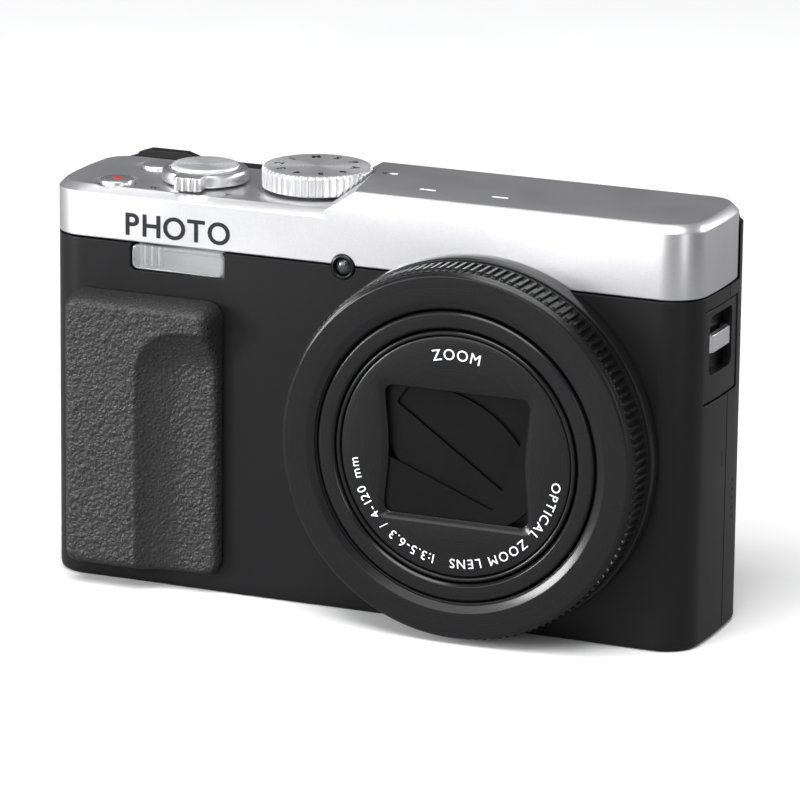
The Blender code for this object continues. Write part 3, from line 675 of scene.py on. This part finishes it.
def make_top_cover():
    cover = deck_block("top_cover_fine", HIGH_DECK_Z, 0.0)
    above = cut(low_side(), deck_block("low_deck", LOW_DECK_Z, 1.0))
    cut(cover, above)
    high_inner = prism("high_inner", cover_outline(WALL + 0.1), 50, HIGH_DECK_Z - WALL)
    cut(high_inner, box("left", (-60, 6), (-20, 20), (40, 90)))
    cut(cover, prism("inner", cover_outline(WALL), 50, LOW_DECK_Z - WALL), high_inner)
    cut(cover, disc("dial_pocket", 9.4, LOW_DECK_Z - 0.1, 80, DIAL, "Z", 96))
    for spot in (RECORD, POWER):
        dish = [(0, 65.0), (3.1, 65.0), (3.5, 65.07), (3.85, 65.22), (4.15, 65.5), (4.15, 67), (0, 67)]
        cut(cover, lathe("dish", dish, spot, "Z", 72), disc("button_hole", 3.05, 60, 66, spot, "Z"))
    cut(cover, disc("dial_hole", 2.9, 60, 80, DIAL, "Z"), disc("shutter_hole", 3.0, 60, 80, SHUTTER, "Z"))
    cut(cover, lens_hole(), lamp_hole(), viewfinder_hole())
    for x in MICROPHONES:
        cut(cover, prism("microphone_slot", rounded(x - 1.5, x + 1.5, -4.1, -3.3, 0.39, 6), 60, 80))
    stands_for(cover, "top_cover")


def make_side_trims():
    for side, label in ((-1, "right_hand"), (1, "left_hand")):
        trim = prism(f"{label}_side_trim_fine", body_outline(0.15), *TRIM_Z)
        slab = box("slab", sorted((side * (HALF_WIDTH - 1.9), side * 60)), TRIM_Y, (0, 90))
        merge(trim, "INTERSECT", [slab])
        through = sorted((side * 50, side * 60))
        cut(trim, prism("lug_window", rounded(*LUG_Y, *LUG_WINDOW_Z, 1.2), *through, "X"))
        stands_for(trim, f"{label}_side_trim")
        floor_x = sorted((side * 53.9, side * 54.05))
        pocket = box(f"{label}_lug_pocket", floor_x, spread(LUG_Y, 0.5), spread(LUG_WINDOW_Z, 0.5))
        belongs(pocket, f"{label}_side_trim")
        make_lug(side, label)


def make_lug(side, label):
    """A flat bar bent into a shallow bridge over its pocket, its ends turned inwards."""
    near, far = LUG_Y[0] + 0.4, LUG_Y[1] - 0.4
    out, back = HALF_WIDTH - 0.1, HALF_WIDTH - 1.9
    thick = 1.0
    outline = [
        (back, near), (out - 0.8, near), (out, near + 0.8), (out, far - 0.8), (out - 0.8, far), (back, far),
        (back, far - thick), (out - thick - 0.2, far - thick), (out - thick, far - thick - 0.2),
        (out - thick, near + thick + 0.2), (out - thick - 0.2, near + thick), (back, near + thick),
    ]
    outline = [(side * x, y) for x, y in eased(outline, 0.35)]
    lug = prism(f"{label}_strap_lug_fine", outline, 47.2, 50.0)
    rim = lug.modifiers.new("rim", "BEVEL")
    rim.width = 0.18 * MM
    rim.segments = 3
    rim.limit_method = "ANGLE"
    rim.angle_limit = math.radians(60)
    stands_for(lug, f"{label}_strap_lug")


# Flash, focus lamp and grip


def make_flash():
    stand_in("flash_window", soft, panel(FLASH_X, FLASH_Z, 1.0), -10.75, -9.6, 0.3, 0.05, "Y")
    for k in range(7):
        x = FLASH_X[0] + 1.0 + 0.62 * k
        rib = prism(f"flash_rib_{k + 1}", [(x, -9.5), (x + 0.34, -9.5), (x + 0.17, -9.15)], 52.9, 56.2)
        belongs(rib, "flash_window", LOOKS["satin_metal"] if k % 2 else LOOKS["dark_glass"])
    shade = box("flash_end_block", (-40.1, -36.4), (-8.95, -8.7), (52.9, 56.3))
    belongs(shade, "flash_window", LOOKS["black_plastic"])


def make_focus_lamp():
    radius = 1.45
    dome = [(0, -10.9)]
    dome += [(radius * math.sin(t), -10.0 - 0.9 * math.cos(t)) for t in (0.25, 0.5, 0.8, 1.1, 1.4)]
    dome += [(radius, -9.8), (radius, -7.0), (0, -7.0)]
    stand_in("focus_lamp_lens", lathe, dome, LAMP, steps=64, look=LAMP_GLASS)
    rim = eased([(1.52, -11.1), (1.98, -11.0), (1.98, -8.0), (1.52, -8.0)], 0.18)
    belongs(lathe("focus_lamp_ring", rim, LAMP, steps=64), "front_shell", LOOKS["black_metal"])


def even_marks(length, edge_steps, pitch):
    """Distances along a side: close together near both ends, then evenly spaced."""
    inner = length / 2
    marks = [d for d in edge_steps if d < inner]
    count = max(2, round((length - 2 * marks[-1]) / pitch))
    run = [marks[-1] + (length - 2 * marks[-1]) * i / count for i in range(1, count)]
    return marks + run + [length - d for d in reversed(marks)]


def pad(name, x, z, corner, back, rise):
    """A swollen pad on a flat face at y = back. rise(x, z, edge) is its height at a point."""
    sign = -1 if back < 0 else 1
    steps = (0.0, 0.04, 0.1, 0.2, 0.34, 0.52, 0.75, 1.05, 1.4, 1.8)
    width, tall = x[1] - x[0], z[1] - z[0]
    across = even_marks(width, steps, GRID_PITCH)
    upwards = even_marks(tall, steps, GRID_PITCH)
    points = []
    for up in upwards:
        near = min(up, tall - up)
        pull = corner - math.sqrt(max(corner ** 2 - (corner - near) ** 2, 0.0)) if near < corner else 0.0
        for along in across:
            a = x[0] + pull + along * (width - 2 * pull) / width
            b = z[0] + up
            height = rise(a, b, inside(a, b, x, z, corner))
            points.append((a, back + sign * height, b))
    count = len(across)
    rows = len(upwards)
    faces = []
    for row in range(rows - 1):
        for i in range(count - 1):
            k = row * count + i
            faces.append([k, k + 1, k + count + 1, k + count])
    rim = list(range(count)) + [row * count + count - 1 for row in range(1, rows)]
    rim += [(rows - 1) * count + i for i in range(count - 2, -1, -1)]
    rim += [row * count for row in range(rows - 2, 0, -1)]
    first = len(points)
    points += [(points[k][0], back, points[k][2]) for k in rim]
    for i in range(len(rim)):
        j = (i + 1) % len(rim)
        faces.append([rim[i], rim[j], first + j, first + i])
    faces.append([first + i for i in range(len(rim))])
    return make(name, points, faces, 60)


def inside(a, b, x, z, corner):
    """Distance from a point to the edge of a rounded rectangle around it."""
    da = abs(a - (x[0] + x[1]) / 2) - (x[1] - x[0]) / 2 + corner
    db = abs(b - (z[0] + z[1]) / 2) - (z[1] - z[0]) / 2 + corner
    return corner - math.hypot(max(da, 0), max(db, 0)) - min(max(da, db), 0)


def shoulder(edge, reach, depth, power=2.4):
    """The height of a pad's rounded side, a distance in from its edge."""
    share = min(max(edge / reach, 0.0), 1.0)
    return depth * (1 - (1 - share) ** power) ** (1 / power)


def pebbles(x, z):
    """Leather relief: pebbles about 1.2 mm across with creases between them, over a slow swell."""
    spot = Vector((x / 1.05, z / 1.05, 0.0))
    spot += 0.25 * noise.noise_vector(spot * 1.7)
    distances, _ = noise.voronoi(spot)
    crease = min((distances[1] - distances[0]) / 0.45, 1.0)
    return 0.2 * crease + 0.06 * noise.noise(spot * 3.1)


def grip_height(x, z, edge):
    """The grip swells out to its full depth, with a finger hollow down its inner half."""
    full = shoulder(edge, 1.9, GRIP_DEPTH)
    hollow = inside(x, z, (-37.4, 30.0), (-60.0, 44.2), 8.0)
    share = min(max(hollow / 7.6, 0.0), 1.0)
    ease = 1 - (1 - share) ** 1.9
    floor = shoulder(edge, 1.2, 2.05)
    height = full + (min(floor, full) - full) * ease
    smooth = max(0.0, 1 - abs(share - 0.45) / 0.4)
    fade = min(edge / 0.6, 1.0) * (1 - 0.92 * smooth)
    return max(height + (pebbles(x, z) - 0.12) * fade, 0.02)


def make_grip():
    stand_in("grip_pad", pad, GRIP_X, GRIP_Z, 2.6, FRONT_Y - GAP, grip_height)


def make_thumb_rest():
    x, (back, top), z = spans("thumb_rest")

    def height(a, b, edge):
        return max(shoulder(edge, 1.1, top - back) + (pebbles(a, b) - 0.12) * min(edge, 1.0), 0.02)

    stand_in("thumb_rest", pad, x, z, 2.5, back, height)


# Lens


def make_lens_body():
    base = eased([(27.0, -10.95), (30.5, -10.95), (30.5, -12.0), (30.3, -13.4), (27.0, -13.4)], 0.25)
    stand_in("lens_base_ring", lathe, base, LENS)
    tube = eased([(23.7, -20.0), (26.4, -20.0), (26.4, 9.2), (7.0, 9.2), (7.0, 8.4), (23.7, 8.4)], 0.15)
    stand_in("lens_fixed_tube", lathe, tube, LENS)
    bezel = [(25.25, -20.8), (28.95, -20.8), (29.5, -20.45), (29.5, -20.3), (23.9, -20.3)]
    stand_in("lens_bezel_ring", lathe, eased(bezel, 0.12), LENS)


def ridge(share, radius, height):
    """The straight ridges of the control ring: cut below its outer radius over its middle band."""
    if radius < 29.7 or not -19.25 < height < -14.3:
        return radius
    phase = (share * RIDGES) % 1.0
    return radius - (0.48 if phase < 0.42 else 0.0)


def make_control_ring():
    band = [
        (26.7, -13.7), (29.75, -13.7), (29.95, -13.85), (29.95, -14.05), (29.55, -14.15), (29.52, -14.28),
        (29.52, -14.29), (29.8, -14.35), (30.0, -14.6), (30.0, -18.9), (29.8, -19.2), (29.5, -19.26),
        (29.5, -19.4), (29.65, -19.5), (29.65, -19.75), (29.3, -20.0), (26.7, -20.0),
    ]
    stand_in("control_ring", lathe, band, LENS, steps=RIDGES * 6, ripple=ridge)


def make_barrels():
    outer = [
        (20.6, -20.1), (21.0, -20.5), (23.0, -20.5), (23.3, -20.2), (23.3, -17.9), (23.12, -17.8),
        (23.12, -17.5), (23.3, -17.4), (23.3, 8.0), (21.6, 8.0), (21.6, -19.2), (20.6, -19.2),
    ]
    stand_in("outer_barrel", lathe, eased(outer, 0.1), LENS)
    inner = [
        (19.6, -20.3), (19.8, -20.4), (20.0, -20.4), (20.2, -20.2), (20.2, -17.9), (20.05, -17.8),
        (20.05, -17.5), (20.2, -17.4), (20.2, 6.5), (18.4, 6.5), (18.4, 0.5), (9.2, 0.5), (9.2, -1.0),
        (18.4, -1.0), (18.4, -13.5), (11.2, -13.5), (11.2, -16.9), (19.6, -16.9),
    ]
    stand_in("inner_barrel", lathe, eased(inner, 0.08), LENS)


def window_radius(turn, grow):
    """Distance from the lens axis to the edge of the lens opening, in one direction."""
    x, z = WINDOW[0] + grow, WINDOW[1] + grow
    near_x, near_z = x - WINDOW_CORNER, -z + WINDOW_CORNER
    outline = [(0.0, -z)]
    for angle in (-1.57, -1.2, -0.8, -0.4, -0.1):
        outline.append((near_x + WINDOW_CORNER * math.cos(angle), near_z + WINDOW_CORNER * math.sin(angle)))
    for share in (-0.8, -0.6, -0.4, -0.2, 0.0):
        outline.append((x - WINDOW_WAIST * math.cos(share * math.pi / 2) ** 2, z * share))
    a, b = abs(math.cos(turn)), -abs(math.sin(turn))
    best = 100.0
    for (x1, z1), (x2, z2) in zip(outline, outline[1:]):
        dx, dz = x2 - x1, z2 - z1
        across = a * dz - b * dx
        if abs(across) < 1e-9:
            continue
        reach = (x1 * dz - z1 * dx) / across
        share = (b * x1 - a * z1) / across
        if reach > 0 and -1e-6 <= share <= 1 + 1e-6:
            best = min(best, reach)
    return best


def opening(share, radius, height):
    """Radii up to 2 mm are taken as distances outside the lens opening's edge."""
    return radius if radius > 2 else window_radius(2 * math.pi * share, radius)


def make_front_plate():
    """The name disc: a ring between the barrel's circle and the lens opening, with a bevelled lip."""
    ring = [(19.4, -19.4), (19.4, -19.95), (19.25, -20.12), (19.0, DISC_Y), (1.05, DISC_Y)]
    ring += [(0.92, -20.17), (0.12, -19.72), (ON_EDGE, -19.6), (ON_EDGE, -19.4)]
    stand_in("lens_front_plate", lathe, ring, LENS, steps=360, ripple=opening, angle=20)


# Controls on the deck


def make_zoom_lever():
    low = LOW_DECK_Z + 0.4
    cup = [
        (2.3, 62.5), (2.75, 62.5), (2.75, low), (6.9, low), (7.0, low + 0.15), (7.0, 67.35), (6.85, 67.75),
        (6.5, 67.9), (5.95, 67.9), (5.85, 67.6), (5.85, 66.6), (2.3, 66.6),
    ]
    lever = lathe("zoom_lever_fine", eased(cup, 0.1), SHUTTER, "Z", 128)
    front = []
    for k in range(4):
        front += arc(-1.62 + 1.08 * k, -9.55, 0.48, 190, 350, 6)
    corners = front + [(2.3, -9.3), (2.3, -6.4), (-2.3, -6.4), (-2.3, -9.3)]
    tilt = Matrix.Rotation(math.radians(7), 2)
    tab = [tuple(SHUTTER + tilt @ Vector(corner)) for corner in corners]
    sections = [(low + 0.1, tab), (67.85, tab)]
    centre = SHUTTER + tilt @ Vector((0, -8.0))
    for height, share in ((68.0, 0.985), (68.1, 0.95)):
        sections.append((height, [tuple(centre + (Vector(point) - centre) * share) for point in tab]))
    unite(lever, loft("tab", sections))
    stands_for(lever, "zoom_lever")


def make_shutter_button():
    profile = [(0, 63.0), (1.9, 63.0), (1.9, 67.6), (5.45, 67.6), (5.5, 67.75), (5.5, 68.1), (5.35, 68.35)]
    profile += [(5.1, 68.48), (4.75, 68.5), (3.2, 68.42), (1.6, 68.37), (0, 68.35)]
    look = turned(
        "spun_button", (0.7, 0.7, 0.71), (0.86, 0.86, 0.87), (0.26, 0.36), (*SHUTTER, None), 0.09, 0.004,
        "Z", Metallic=0.7, Anisotropic=0.85,
    )
    stand_in("shutter_button", lathe, profile, SHUTTER, "Z", 128, look=look)


def flute(share, radius, height):
    """Narrow grooves down the mode dial's side."""
    if radius < 8.7:
        return radius
    phase = abs(((share * FLUTES) % 1.0) - 0.5) * 2
    return radius - 0.34 * max(0.0, (phase - 0.62) / 0.38) ** 0.7


def make_mode_dial():
    profile = [
        (0, 61.0), (2.4, 61.0), (2.4, 65.9), (8.45, 65.9), (8.6, 66.05), (8.9, 66.1), (8.9, 66.6),
        (8.9, 68.75), (8.88, 68.95), (8.72, 69.15), (8.55, 69.32), (8.3, 69.4), (8.0, 69.4), (6.0, 69.36),
        (3.0, 69.32), (0, 69.3),
    ]
    look = turned(
        "spun_dial", (0.66, 0.66, 0.67), (0.82, 0.82, 0.83), (0.26, 0.36), (*DIAL, None), 0.08, 0.004, "Z",
        Metallic=0.78, Anisotropic=0.8,
    )
    stand_in("mode_dial", lathe, profile, DIAL, "Z", FLUTES * 8, flute, look=look)


def make_deck_buttons():
    profile = [
        (0, 62.3), (3.02, 62.3), (3.02, 63.0), (2.85, 63.1), (2.85, 65.55), (2.7, 65.82), (2.4, 65.93),
        (1.2, 65.97), (0, 65.98),
    ]
    for node, spot in (("record_button", RECORD), ("power_button", POWER)):
        stand_in(node, lathe, profile, spot, "Z", 72)
    x, y = RECORD
    dot = soft("record_dot", panel((x - 0.7, x + 0.7), (y - 0.7, y + 0.7), 0.35), 65.9, 66.02, 0.0, 0.03)
    belongs(dot, "record_button", RED_INK)


def make_deck_marks():
    index = disc("dial_index", 0.42, *DECK_MARK_Z, (-2.9, 4.3), "Z", 32)
    belongs(index, "top_cover", DARK_INK_AND_HOLE_SHADE)
    oval = rounded(-2.1, -0.7, 4.1, 4.9, 0.39)
    belongs(prism("dial_index_oval", oval, *DECK_MARK_Z), "top_cover", WHITE_INK)
    for number, x in enumerate(MICROPHONES, start=1):
        slot = rounded(x - 1.4, x + 1.4, -4.0, -3.4, 0.29, 6)
        gauze = prism(f"microphone_gauze_{number}", slot, HIGH_DECK_Z - 0.4, HIGH_DECK_Z - 0.06)
        belongs(gauze, "top_cover", WHITE_INK)


# Lettering


def glyph(letter, size, thick, bold=0.0):
    curve = bpy.data.curves.new("glyph", "FONT")
    curve.body = letter
    curve.size = size * MM
    curve.extrude = thick / 2 * MM
    curve.offset = bold * MM
    curve.resolution_u = 4
    holder = put("glyph", curve)
    mesh = evaluated(holder)
    bpy.data.objects.remove(holder, do_unlink=True)
    bpy.data.curves.remove(curve)
    return mesh


def lettering(name, text, size, spacing, frame_at, thick=0.06, bold=0.0, centred=False):
    """One mesh of letters. frame_at(distance) gives the matrix at a distance along the line."""
    letters = []
    run = 0.0
    for letter in text:
        if letter == " ":
            run += size * 0.45
            continue
        mesh = glyph(letter, size, thick, bold)
        width = max(vertex.co.x for vertex in mesh.vertices) / MM
        letters.append((mesh, run, width))
        run += width + spacing
    start = (spacing - run) / 2 if centred else 0.0
    shape = bmesh.new()
    for mesh, along, width in letters:
        place_at = frame_at(start + along + width / 2)
        mesh.transform(place_at @ Matrix.Translation((-width / 2 * MM, 0, 0)))
        shape.from_mesh(mesh)
        bpy.data.meshes.remove(mesh)
    bmesh.ops.remove_doubles(shape, verts=shape.verts, dist=1e-7)
    bmesh.ops.recalc_face_normals(shape, faces=shape.faces)
    mesh = bpy.data.meshes.new(name)
    shape.to_mesh(mesh)
    shape.free()
    return wrap(name, mesh)


def letter_matrix(spot, right, up):
    """The matrix that puts a letter at a point, with its own right and up."""
    turn = Matrix((right, up, right.cross(up))).transposed()
    return Matrix.Translation(spot * MM) @ turn.to_4x4()


def straight(start, right, up):
    """Letters along a straight line from a point: distance runs to the right."""
    start, right, up = Vector(start), Vector(right), Vector(up)
    return lambda distance: letter_matrix(start + right * distance, right, up)


def round_lens(radius, angle, y):
    """Letters running clockwise round the lens as seen from the front, their tops outwards."""

    def at(distance):
        turn = math.radians(angle) + distance / radius
        out = Vector((math.sin(turn), 0, math.cos(turn)))
        right = Vector((math.cos(turn), 0, -math.sin(turn)))
        return letter_matrix(Vector((LENS_X, y, LENS_Z)) + out * radius, right, out)

    return at


def make_lettering():
    front = straight((-41.9, FRONT_Y, 58.0), (1, 0, 0), (0, 0, 1))
    belongs(lettering("front_word", "PHOTO", 5.1, 0.35, front, 0.1, 0.1), "top_cover", DARK_INK_AND_HOLE_SHADE)
    disc_text = "OPTICAL ZOOM LENS  1:3.5-6.3 / 4-120 mm"
    for name, text, size, gap, radius, angle, thick in (
        ("disc_word", "ZOOM", 2.5, 0.2, 15.6, 0, 0.06),
        ("disc_numbers", disc_text, 2.15, 0.27, 16.6, 180, 0.05),
    ):
        word = lettering(name, text, size, gap, round_lens(radius, angle, DISC_Y), thick, centred=True)
        belongs(word, "lens_front_plate", WHITE_INK)
    for k, letter in enumerate(("A", "P", "S", "M", "1", "2", "3", "4", "5", "6")):
        turn = math.radians(36 * k + 10)
        out = Vector((math.cos(turn), math.sin(turn), 0))
        right = Vector((math.sin(turn), -math.cos(turn), 0))
        spot = Vector((*DIAL, 69.38)) + out * 5.6
        place_at = straight(spot - right * 0.6, right, out)
        mark = lettering(f"dial_mark_{k + 1}", letter, 2.1, 0.0, place_at, 0.06, 0.04)
        belongs(mark, "mode_dial", DARK_INK_AND_HOLE_SHADE)
    for name, letter, x, y in (("lever_mark_wide", "W", -38.6, -8.6), ("lever_mark_tele", "T", -25.6, -8.2)):
        place_at = straight((x, y, LOW_DECK_Z), (1, 0, 0), (0, 1, 0))
        belongs(lettering(name, letter, 1.5, 0.0, place_at, 0.04, 0.03), "top_cover", DARK_INK_AND_HOLE_SHADE)


# Back


def make_monitor():
    x, y, z = spans("monitor_frame")
    frame_piece = soft("monitor_frame_fine", panel(x, z, 1.8), *y, 0.4, 0.6, "Y")
    seat = prism("screen_seat", rounded(*spread(x, -4.0), *spread(z, -3.2), 0.7), 17.3, 20, "Y")
    cut(frame_piece, seat)
    stands_for(frame_piece, "monitor_frame")
    x, _, z = spans("monitor_screen")
    stand_in("monitor_screen", soft, panel(x, z, 0.5), 17.5, 18.1, 0.05, 0.12, "Y")
    lit = rounded(*spread(x, -1.6), *spread(z, -1.6), 0.3)
    belongs(prism("monitor_picture_area", lit, 18.02, 18.12, "Y"), "monitor_screen", SCREEN_LOOK)
    make_arm()


def make_arm():
    x, y, z = spans("monitor_arm")
    centre, radius = (y[0] + y[1]) / 2, (y[1] - y[0]) / 2
    outline = arc(centre, z[1] - radius, radius, 0, 180, 10)
    outline += arc(centre, z[0] + radius, radius, 180, 360, 10)
    arm = prism("monitor_arm_fine", outline, *x, "X")
    low, high = centre - 0.3, centre + 0.38
    profile = eased([(0, low), (0.95, low), (0.95, high), (0, high)], 0.15)
    for number, across in enumerate(spread(x, -6.0), start=1):
        spot = (across, 55.6)
        cut(arm, disc("rivet_hole", 1.1, 10, 20, spot, steps=40))
        rivet = lathe(f"monitor_arm_rivet_{number}", profile, spot, steps=40)
        belongs(rivet, "monitor_arm", LOOKS["steel"])
    stands_for(arm, "monitor_arm", LOOKS["steel"])


def make_viewfinder():
    x, y, z = spans("eyecup")
    cup = soft("eyecup_fine", panel(x, z, 2.2), *y, 0.15, 1.1, "Y", 6)
    sections = []
    for y, flare in ((14.0, 0.0), (19.2, 0.0), (19.8, 0.15), (20.4, 0.6), (20.9, 1.3), (22.0, 1.6)):
        x, z = spread(EYE_HOLE_X, 0.2 + flare), spread(EYE_HOLE_Z, 0.1 + flare * 0.5)
        sections.append((y, rounded(*x, *z, 1.6)))
    cut(cup, loft("eye_hole", sections, "Y"))
    stands_for(cup, "eyecup")
    x, y, z = spans("eyepiece_lens")
    stand_in("eyepiece_lens", soft, panel(x, z, 1.2), *y, 0.1, 0.6, "Y")


def knurl(count, outer, depth):
    def ripple(share, radius, height):
        if radius < outer - 0.05:
            return radius
        return radius - (depth if (share * count) % 1.0 < 0.4 else 0.0)

    return ripple


def make_rear_controls():
    profile = [(0, 11.2), (2.9, 11.2), (2.9, 11.9), (2.2, 12.0)]
    profile += [(2.2, 15.9), (2.05, 16.15), (1.7, 16.28), (0, 16.3)]
    rim = eased([(2.62, 15.1), (3.05, 15.1), (3.05, 15.42), (2.62, 15.42)], 0.12)
    for node in REAR_BUTTONS:
        spot = middle(node).xz
        stand_in(node, lathe, profile, spot, steps=56)
        belongs(lathe(f"{node}_rim", rim, spot, steps=56), "rear_shell")
    dial = [(5.7, 15.6), (9.0, 15.6), (9.2, 15.7), (9.2, 16.6)]
    dial += [(9.0, 16.85), (8.7, 17.0), (6.2, 17.0), (5.7, 16.7)]
    centre = (PAD.x, None, PAD.y)
    look = turned(
        "spun_rear_dial", (0.014, 0.014, 0.015), (0.024, 0.024, 0.025), (0.25, 0.35), centre, 0.1, 0.004,
        "Y", **DARK_METAL,
    )
    stand_in("rear_dial", lathe, dial, PAD, steps=60 * 6, ripple=knurl(60, 9.2, 0.22), look=look)
    button = [(0, 11.6), (2.1, 11.6), (2.1, 16.1), (5.3, 16.1), (5.4, 16.2)]
    button += [(5.4, 17.0), (5.25, 17.28), (4.9, 17.4), (0, 17.25)]
    stand_in("set_button", lathe, button, PAD, steps=96)
    rubber = [(0, 15.6), (2.3, 15.6), (2.4, 15.7), (2.4, 17.1), (2.2, 17.35), (1.9, 17.4), (0, 17.35)]
    stand_in("diopter_dial", lathe, rubber, DIOPTER, steps=36 * 4, ripple=knurl(36, 2.4, 0.14))


def make_rear_marks():
    """Generic symbols on the rear controls: a play triangle, four arrows and a bin with its lid."""
    for use, outline in (
        ("playback", [(0.6, -0.75), (-0.75, 0.0), (0.6, 0.75)]),
        ("delete", [(-0.55, -0.75), (0.55, -0.75), (0.7, 0.35), (-0.7, 0.35)]),
    ):
        x, z = middle(f"{use}_button").xz
        symbol = [(x + a, z + b) for a, b in outline]
        belongs(prism(f"{use}_mark", symbol, *BUTTON_MARK_Y, "Y"), f"{use}_button", WHITE_INK)
    x, z = middle("delete_button").xz
    lid = box("delete_mark_lid", (x - 0.85, x + 0.85), BUTTON_MARK_Y, (z + 0.5, z + 0.75))
    belongs(lid, "delete_button", WHITE_INK)
    for k in range(4):
        turn = math.pi / 2 * k
        out = Vector((math.cos(turn), math.sin(turn)))
        side = Vector((-out.y, out.x))
        tip = PAD + out * 8.1
        arrow = [tuple(tip), tuple(tip - out + side * 0.65), tuple(tip - out - side * 0.65)]
        belongs(prism(f"rear_dial_mark_{k + 1}", arrow, 16.9, 17.04, "Y"), "rear_dial", WHITE_INK)


# Doors and base


def make_base():
    x, y, z = spans("battery_door_latch")
    stand_in("battery_door_latch", soft, panel(x, y, 0.5), *z, 0.1, 0.02)
    for number, spot in enumerate(SCREWS, start=1):
        profile = [(0, 0.25), (1.4, 0.25), (1.65, 0.4), (1.65, 1.05), (0.85, 1.05), (0.85, 5.5), (0, 5.5)]
        screw = lathe(f"base_screw_{number}_fine", profile, spot, "Z", 48)
        for half_x, half_y in ((1.1, 0.2), (0.2, 1.1)):
            x = (spot[0] - half_x, spot[0] + half_x)
            cut(screw, box("cross_slot", x, (spot[1] - half_y, spot[1] + half_y), (0, 0.6)))
        stands_for(screw, f"base_screw_{number}")
    bore = [(3.2, 0.15), (3.4, 0.15), (5.0, 0.15), (5.0, 2.4), (6.8, 2.4), (6.8, 3.5), (3.2, 3.5)]
    for k in range(6):
        height = 3.3 - 0.5 * k
        bore += [(3.2, height), (3.38, height - 0.12), (3.38, height - 0.2), (3.2, height - 0.32)]
    stand_in("tripod_socket", lathe, bore, SOCKET, "Z", 96)


def make_port_door():
    door = prism("port_door_fine", body_outline(0.1), *PORT_Z)
    slab = prism("slab", rounded(*PORT_Y, *PORT_Z, 0.6), -60, -54.4, "X")
    merge(door, "INTERSECT", [slab])
    pull = prism("pull", rounded(2.1, 3.4, 22.0, 27.0, 0.6), -60, 0.55 - HALF_WIDTH, "X")
    cut(door, pull)
    stands_for(door, "port_door")


def make_side_details():
    """Painted shade on the lens side: flush dark discs stand for the column of small holes, and a flush dark
    patch stands for the slot low down.
    """
    for k in range(5):
        # Each hole is a flat dark disc, not cut through: its dark colour is painted shade.
        hole = disc(f"speaker_hole_shade_{k + 1}", 0.32, 55.2, HALF_WIDTH - 0.14, (8.5, 18.0 + 1.5 * k), "X", 24)
        belongs(hole, "rear_shell", DARK_INK_AND_HOLE_SHADE)
    # The slot is a flat dark patch, not cut: its dark colour is painted shade.
    slot = prism("side_slot_shade", rounded(2.4, 3.3, 27.6, 30.2, 0.4), 55.2, HALF_WIDTH + 0.02, "X")
    belongs(slot, "front_shell", DARK_INK_AND_HOLE_SHADE)


# Everything else keeps its CAD shape


def dress_cad_nodes():
    for node, piece in frame["nodes"].items():
        if not piece.hide_render:
            wear(piece, BLADE_LOOK if node.endswith("_blade") else LOOKS[SLOT_OF[node]])


# Studio


def make_floor():
    """A pale floor that reflections see as a darker one, so the black parts keep their depth."""
    floor = box("floor", (-3000, 3000), (-3000, 3000), (-12, -0.05))
    look = Look("pale_floor", Roughness=0.7, Specular_IOR_Level=0.1)
    pale = look.mix(look.span(look.noise(40.0), 0.0, 1.0), (0.86, 0.86, 0.865), (0.88, 0.88, 0.885))
    seen = look.add("LightPath").outputs["Is Glossy Ray"]
    look.set("Base Color", look.mix(seen, pale, (0.24, 0.24, 0.245)))
    wear(floor, look.material)


def light(name, spot, size, power):
    lamp = bpy.data.lights.new(name, "AREA")
    lamp.shape = "RECTANGLE"
    lamp.size, lamp.size_y = size
    lamp.energy = power
    holder = put(name, lamp)
    holder.location = Vector(spot)
    holder.rotation_mode = "QUATERNION"
    holder.rotation_quaternion = (Vector(AIM) - Vector(spot)).to_track_quat("-Z", "Y")


def make_studio():
    light("front_left_softbox", (-0.55, -1.25, 0.5), (1.1, 0.8), 9)
    light("right_strip", (1.3, -0.9, 0.3), (0.18, 0.8), 3)
    light("left_softbox", (-0.96, -0.85, 0.22), (0.34, 0.34), 14)
    light("left_strip", (-1.17, -0.42, 0.36), (0.12, 0.4), 4)
    light("top_softbox", (0.1, -0.6, 1.2), (1.0, 0.8), 22)
    light("rear_softbox", (0.95, 1.0, 0.6), (0.8, 0.6), 9)
    world = bpy.data.worlds.new("studio")
    world.use_nodes = True
    nodes = Nodes(world.node_tree)
    direction = nodes.add("TexCoord").outputs["Generated"]
    height = nodes.add("SeparateXYZ", {0: direction}).outputs["Z"]
    ramp = nodes.add("ValToRGB", {"Fac": height})
    low, high = ramp.color_ramp.elements
    low.position, low.color = 0.0, (0.05, 0.05, 0.052, 1.0)
    high.position, high.color = 0.75, (0.25, 0.25, 0.255, 1.0)
    seen = nodes.add("LightPath").outputs["Is Camera Ray"]
    background = nodes.tree.nodes["Background"].inputs
    nodes.join(nodes.mix(seen, ramp.outputs["Color"], (1.1, 1.1, 1.1)), background["Color"])
    nodes.join(0.9, background["Strength"])
    bpy.context.scene.world = world
    bpy.context.scene.view_settings.view_transform = "Standard"


def make_camera():
    lens = bpy.data.cameras.new("camera")
    lens.lens = FOCAL_MM
    lens.sensor_width = 36.0
    lens.clip_start, lens.clip_end = 0.01, 50.0
    holder = put("camera", lens)
    right = Vector(EYE_RIGHT).normalized()
    back = right.cross(Vector(EYE_UP)).normalized()
    turn = Matrix((right, back.cross(right), back)).transposed()
    holder.matrix_world = Matrix.Translation(Vector(EYE) * MM) @ turn.to_4x4()
    bpy.context.scene.camera = holder


make_front_shell()
make_rear_shell()
make_top_cover()
make_side_trims()
make_flash()
make_focus_lamp()
make_grip()
make_thumb_rest()
make_lens_body()
make_control_ring()
make_barrels()
make_front_plate()
make_zoom_lever()
make_shutter_button()
make_mode_dial()
make_deck_buttons()
make_deck_marks()
make_lettering()
make_monitor()
make_viewfinder()
make_rear_controls()
make_rear_marks()
make_base()
make_port_door()
make_side_details()
dress_cad_nodes()
make_floor()
make_studio()
make_camera()
